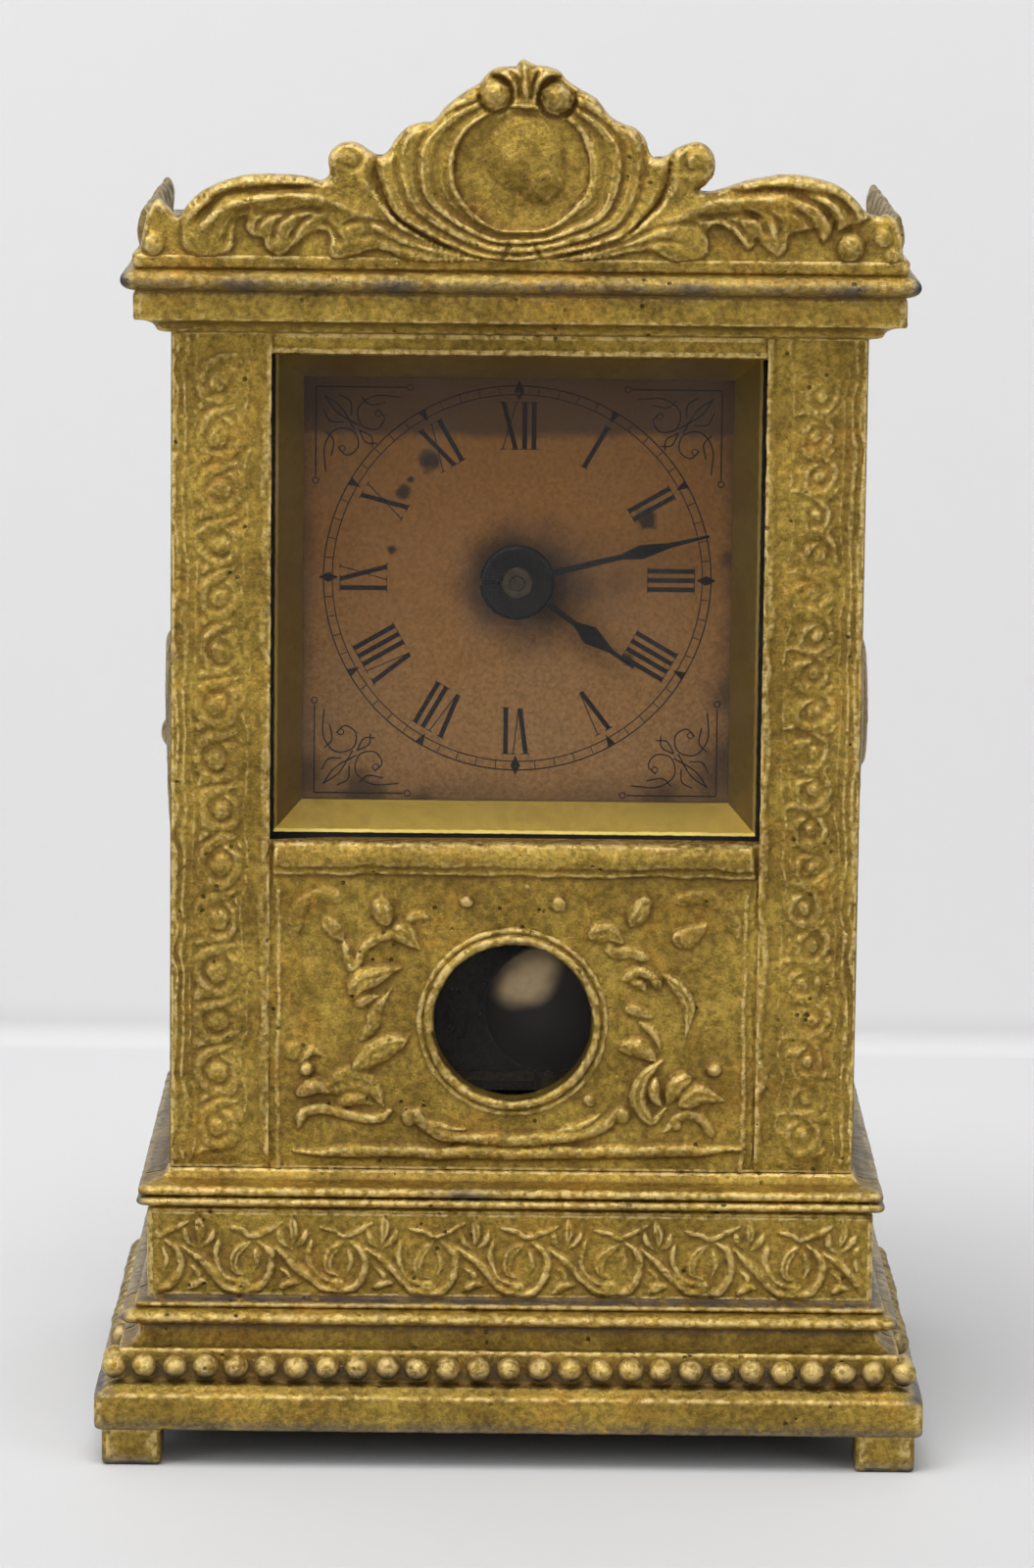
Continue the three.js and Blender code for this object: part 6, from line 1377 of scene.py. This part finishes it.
def ink_material():
    """Black printing ink, worn thin in places."""
    material, tree, shader = new_material("printing_ink", 0.7, 0.08)
    worn = ramp(tree, noise(tree, 0.5, 4.0, 0.7), 0.55, 0.75)
    tree.links.new(blend_colour(tree, worn, (0.012, 0.008, 0.007), (0.05, 0.026, 0.013)),
                   shader.inputs["Base Color"])
    return material


PAPER, INK = paper_material(), ink_material()
cad_finish(PAPER, "paper", "dial_paper")
PRINT_THICK = 0.012


def patch(bm, corners):
    """A flat printed shape with the given (x, z) corners."""
    face = bm.faces.new([bm.verts.new(Vector((x, PAPER_Y - PRINT_THICK, z)) * MM) for x, z in corners])
    raised = bmesh.ops.extrude_face_region(bm, geom=[face])["geom"]
    bmesh.ops.translate(bm, vec=Vector((0, PRINT_THICK - 0.002, 0)) * MM,
                        verts=[part for part in raised if isinstance(part, bmesh.types.BMVert)])


def ribbon(bm, points, width, count):
    """A fine printed line through the points."""
    line = smooth_line(points, count)
    along = np.gradient(line, axis=0)
    along /= np.maximum(np.hypot(along[:, 0], along[:, 1])[:, None], 1e-9)
    side_step = np.stack([-along[:, 1], along[:, 0]], 1)
    outer, inner = line + side_step * width / 2, line - side_step * width / 2
    for i in range(count - 1):
        patch(bm, [outer[i], outer[i + 1], inner[i + 1], inner[i]])


def ring(bm, x, z, radius, width, count):
    """A printed circle."""
    turn = np.linspace(0, 2 * math.pi, count + 1)
    for a, b in zip(turn, turn[1:]):
        patch(bm, [(x + r * math.sin(c), z + r * math.cos(c)) for r, c in
                   ((radius, a), (radius, b), (radius - width, b), (radius - width, a))])


def dial_point(hour, across, up):
    """A place on the dial: across and up from the middle, along an hour's direction."""
    a = math.radians(hour * 30)
    return up * math.sin(a) + across * math.cos(a), DIAL_Z + up * math.cos(a) - across * math.sin(a)


NUMERALS = ("I", "II", "III", "IIII", "V", "VI", "VII", "VIII", "IX", "X", "XI", "XII")
NUMERAL_LOW, NUMERAL_HIGH = 11.85, 16.0
STROKE = {"I": 0.84, "V": 1.8, "X": 1.9}


def numeral(bm, hour, word):
    """One roman numeral, its foot towards the middle of the dial."""
    at = -sum(STROKE[letter] for letter in word) / 2
    low, high, thick, thin, serif = NUMERAL_LOW, NUMERAL_HIGH, 0.44, 0.1, 0.085

    def slab(*points):
        patch(bm, [dial_point(hour, x, up) for x, up in points])

    def bar(x_low, x_high, width):
        half = width / 2
        slab((x_low - half, low), (x_low + half, low), (x_high + half, high), (x_high - half, high))

    def foot_line(x, half, level):
        slab((x - half, level), (x + half, level), (x + half, level + serif), (x - half, level + serif))

    bars = {"I": ((0, 0, thick),), "V": ((0.05, -0.52, thick), (0.17, 0.62, thin)),
            "X": ((0.56, -0.56, thick), (-0.6, 0.6, thin))}
    feet = {"I": ((0, 0.38, low - serif), (0, 0.38, high)), "V": ((-0.52, 0.4, high), (0.62, 0.28, high)),
            "X": ((-0.6, 0.26, low - serif), (0.56, 0.38, low - serif), (-0.56, 0.38, high),
                  (0.6, 0.26, high))}
    for letter in word:
        middle = at + STROKE[letter] / 2
        for x_low, x_high, width in bars[letter]:
            bar(middle + x_low, middle + x_high, width)
        for x, half, level in feet[letter]:
            foot_line(middle + x, half, level)
        at += STROKE[letter]


numbers = bmesh.new()
for hour, word in enumerate(NUMERALS, 1):
    numeral(numbers, hour, word)
put("dial_numerals", numbers, INK, slot="paper")

TRACK_OUTER, TRACK_INNER = 17.6, 16.8
MINUTE_MARK = ((-0.04, 16.75), (0.04, 16.75), (0.04, 17.45), (-0.04, 17.45))
HOUR_MARK = ((-0.42, 17.6), (0.42, 17.6), (0, 16.4))
QUARTER_MARK = ((0, 16.2), (-0.46, 17.1), (0, 18.0), (0.46, 17.1))
track = bmesh.new()
ring(track, 0, DIAL_Z, TRACK_OUTER, 0.12, 180)
ring(track, 0, DIAL_Z, TRACK_INNER, 0.1, 180)
for minute in range(60):
    mark = MINUTE_MARK if minute % 5 else HOUR_MARK if minute % 15 else QUARTER_MARK
    patch(track, [dial_point(minute / 5, x, up) for x, up in mark])
put("dial_minute_track", track, INK, slot="paper")

# Half of a corner's scrolls; the other half is the same with its two measures exchanged.
SPANDREL = [
    [(1.1, 1.1), (1.1, 9.2)], [(2.0, 8.8), (1.9, 6.4), (3.0, 4.9), (4.6, 5.2), (4.9, 6.6), (3.9, 7.3),
                               (3.1, 6.6)],
    [(1.9, 1.9), (3.0, 3.4), (5.0, 4.6)], [(1.8, 3.2), (2.4, 4.2), (3.6, 4.3)],
    [(5.0, 5.0), (6.1, 5.6), (6.2, 6.6)], [(2.0, 5.2), (2.7, 6.0), (2.5, 7.4)],
]
corners = bmesh.new()
PAPER_X, PAPER_LOW, PAPER_HIGH = 19.4, 58.6, 97.9
for sign_x in (-1, 1):
    for edge_z, sign_z in ((PAPER_LOW, 1), (PAPER_HIGH, -1)):
        def corner_point(a, b):
            return sign_x * (PAPER_X - a), edge_z + sign_z * b

        for points in SPANDREL:
            ribbon(corners, [corner_point(a, b) for a, b in points], 0.13, 22)
            ribbon(corners, [corner_point(b, a) for a, b in points], 0.13, 22)
        for a, b in ((1.1, 9.6), (9.6, 1.1), (3.5, 6.7), (6.7, 3.5)):
            ring(corners, *corner_point(a, b), 0.32, 0.1, 14)
put("dial_corner_scrolls", corners, INK, slot="paper")

# Hands and hub
# Thin blued-steel hands turn on two pipes; a blued slotted washer holds them, with the riveted
# brass end of the centre arbor in its middle.
cad_finish(BLUED, "blued_steel", "minute_hand", "hour_hand")
cad_finish(DARK_BRASS, "dark_brass", "cannon_pinion", "centre_arbor")
eased("hand_washer", BLUED, "blued_steel", 0.08, "minute_body")

# Bezel and glass
# A brass bezel, folded with mitred slopes, frames the dial behind a single sheet of window glass
# that also covers the round hole.
BEZEL_MIDDLE_Z, BEZEL_SIGHT = 78.5, 21.9


def bezel_material():
    """Lacquered brass gone olive, with painted shadow in the gap where it meets the casting and a painted
    highlight along its outer edge.
    """
    material = metal("olive_bezel_brass", (0.33, 0.23, 0.042), (0.18, 0.11, 0.02), 0.6, 0.32, 5.0)
    tree = material.node_tree
    shader = tree.nodes["Principled BSDF"]
    plain = shader.inputs["Base Color"].links[0].from_socket
    place = axes(tree)
    across = calc(tree, "ABSOLUTE", times(tree, place["X"], 1000.0), 0.0)
    level = calc(tree, "SUBTRACT", times(tree, place["Z"], 1000.0), BEZEL_MIDDLE_Z)
    reach = calc(tree, "MAXIMUM", across, calc(tree, "ABSOLUTE", level, 0.0))
    reach = plus(tree, reach, times(tree, noise(tree, 0.8), 0.2))
    # Painted shadow: beyond the casting's opening the bezel is painted nearly black, for the shadowed gap
    # between them.
    gap_shadow = ramp(tree, reach, BEZEL_SIGHT - 0.05, BEZEL_SIGHT + 0.05)
    # Painted highlight: a bright line along the bezel's outer edge, just inside the opening.
    edge_highlight = ramp(tree, reach, BEZEL_SIGHT - 0.3, BEZEL_SIGHT - 0.2)
    rubbed = blend_colour(tree, times(tree, edge_highlight, 0.7), plain, (0.75, 0.6, 0.16))
    tree.links.new(blend_colour(tree, gap_shadow, rubbed, (0.01, 0.007, 0.004)), shader.inputs["Base Color"])
    return material


cad_finish(bezel_material(), "brass", "bezel")
GLASS, glass_tree, glass_shader = new_material("thin_old_glass", 0.08)
glass_shader.inputs["Base Color"].default_value = (0.3, 0.29, 0.28, 1)
glass_film = ramp(glass_tree, noise(glass_tree, 7.0, 5.0, 0.7), 0.4, 0.75, 0.025, 0.045)
glass_tree.links.new(glass_film, glass_shader.inputs["Alpha"])
cad_finish(GLASS, "glass", "glass")

# Floor, light and camera
# A pale card bends up from table to wall, under soft light from above. The camera is where the
# photographer stood.
WALL_Y, WALL_CURVE, CARD_REACH = 153.0, 3.0, 1500

floor_mesh = bpy.data.meshes.new("floor")
bm = bmesh.new()
sweep = [(-CARD_REACH, 0), (WALL_Y - WALL_CURVE, 0)]
for step in range(1, 9):
    angle = math.pi / 2 * step / 8
    sweep.append((WALL_Y - WALL_CURVE + WALL_CURVE * math.sin(angle),
                  WALL_CURVE - WALL_CURVE * math.cos(angle)))
sweep.append((WALL_Y, CARD_REACH))
rows = [[bm.verts.new(Vector((x, y, z)) * MM) for x in (-CARD_REACH, CARD_REACH)] for y, z in sweep]
for low_row, high_row in zip(rows, rows[1:]):
    bm.faces.new((low_row[0], low_row[1], high_row[1], high_row[0])).smooth = True
bm.to_mesh(floor_mesh)
bm.free()
card, card_tree, card_shader = new_material("matt_white_card", 0.7)
place = axes(card_tree)
# Painted shade and light: the one white card is painted darker towards the camera and lighter where it
# turns up into the wall.
near = ramp(card_tree, place["Y"], -0.22, 0.08)
floor_painted_shade = blend_colour(card_tree, near, (0.43, 0.43, 0.433), (0.555, 0.555, 0.562))
upright = ramp(card_tree, place["Z"], 0.001, 0.006)
card_tree.links.new(blend_colour(card_tree, upright, floor_painted_shade, (0.635, 0.635, 0.64)),
                    card_shader.inputs["Base Color"])
# Seen from its back the card is clear, so it never hides the clock.
card_side = add_node(card_tree, "NewGeometry")
card_clear = add_node(card_tree, "BsdfTransparent")
card_mix = add_node(card_tree, "MixShader")
card_tree.links.new(card_side.outputs["Backfacing"], card_mix.inputs[0])
card_tree.links.new(card_shader.outputs[0], card_mix.inputs[1])
card_tree.links.new(card_clear.outputs[0], card_mix.inputs[2])
card_tree.links.new(card_mix.outputs[0], card_tree.nodes["Material Output"].inputs["Surface"])
floor_mesh.materials.append(card)
floor = place_object("floor", floor_mesh)

world = bpy.data.worlds.new("studio")
world.use_nodes = True
bpy.context.scene.world = world
tree = world.node_tree
sky = tree.nodes["Background"]
level = ramp(tree, axes(tree, "Generated")["Z"], -0.1, 0.9, 0.27, 0.7)
rays = add_node(tree, "LightPath")
tree.links.new(blend_colour(tree, rays.outputs["Is Camera Ray"], grey(tree, level), (0.73, 0.73, 0.75)),
               sky.inputs["Color"])


LIT_POINT = (0, 0, 0.07)


def lamp(name, place, size, power):
    """A square soft box aimed at the clock."""
    data = bpy.data.lights.new(name, "AREA")
    data.shape = "SQUARE"
    data.size = size
    data.energy = power
    light = place_object(name, data)
    light.location = place
    light.rotation_mode = "QUATERNION"
    light.rotation_quaternion = (Vector(LIT_POINT) - Vector(place)).to_track_quat("-Z", "Y")


lamp("top_light", (-0.1, -0.25, 0.75), 0.5, 5.4)
lamp("left_light", (-0.6, -0.45, 0.35), 0.35, 1.6)
lamp("right_light", (0.55, -0.5, 0.3), 0.35, 1.1)

eye = bpy.data.cameras.new("photographer")
eye.lens = 142.16
eye.sensor_width = 36.0
camera = place_object("photographer", eye)
toward = Vector((0.0030809, 0.98575522, -0.1681581))
right = Vector((0.99993895, -0.0012525, 0.01097809))
above = Vector((-0.01061109, 0.16818166, 0.98569891))
camera.matrix_world = Matrix((
    (right.x, above.x, -toward.x, -1.551 * MM), (right.y, above.y, -toward.y, -570.42 * MM),
    (right.z, above.z, -toward.z, 155.465 * MM), (0, 0, 0, 1)))
bpy.context.scene.camera = camera
bpy.context.scene.view_settings.view_transform = "Standard"
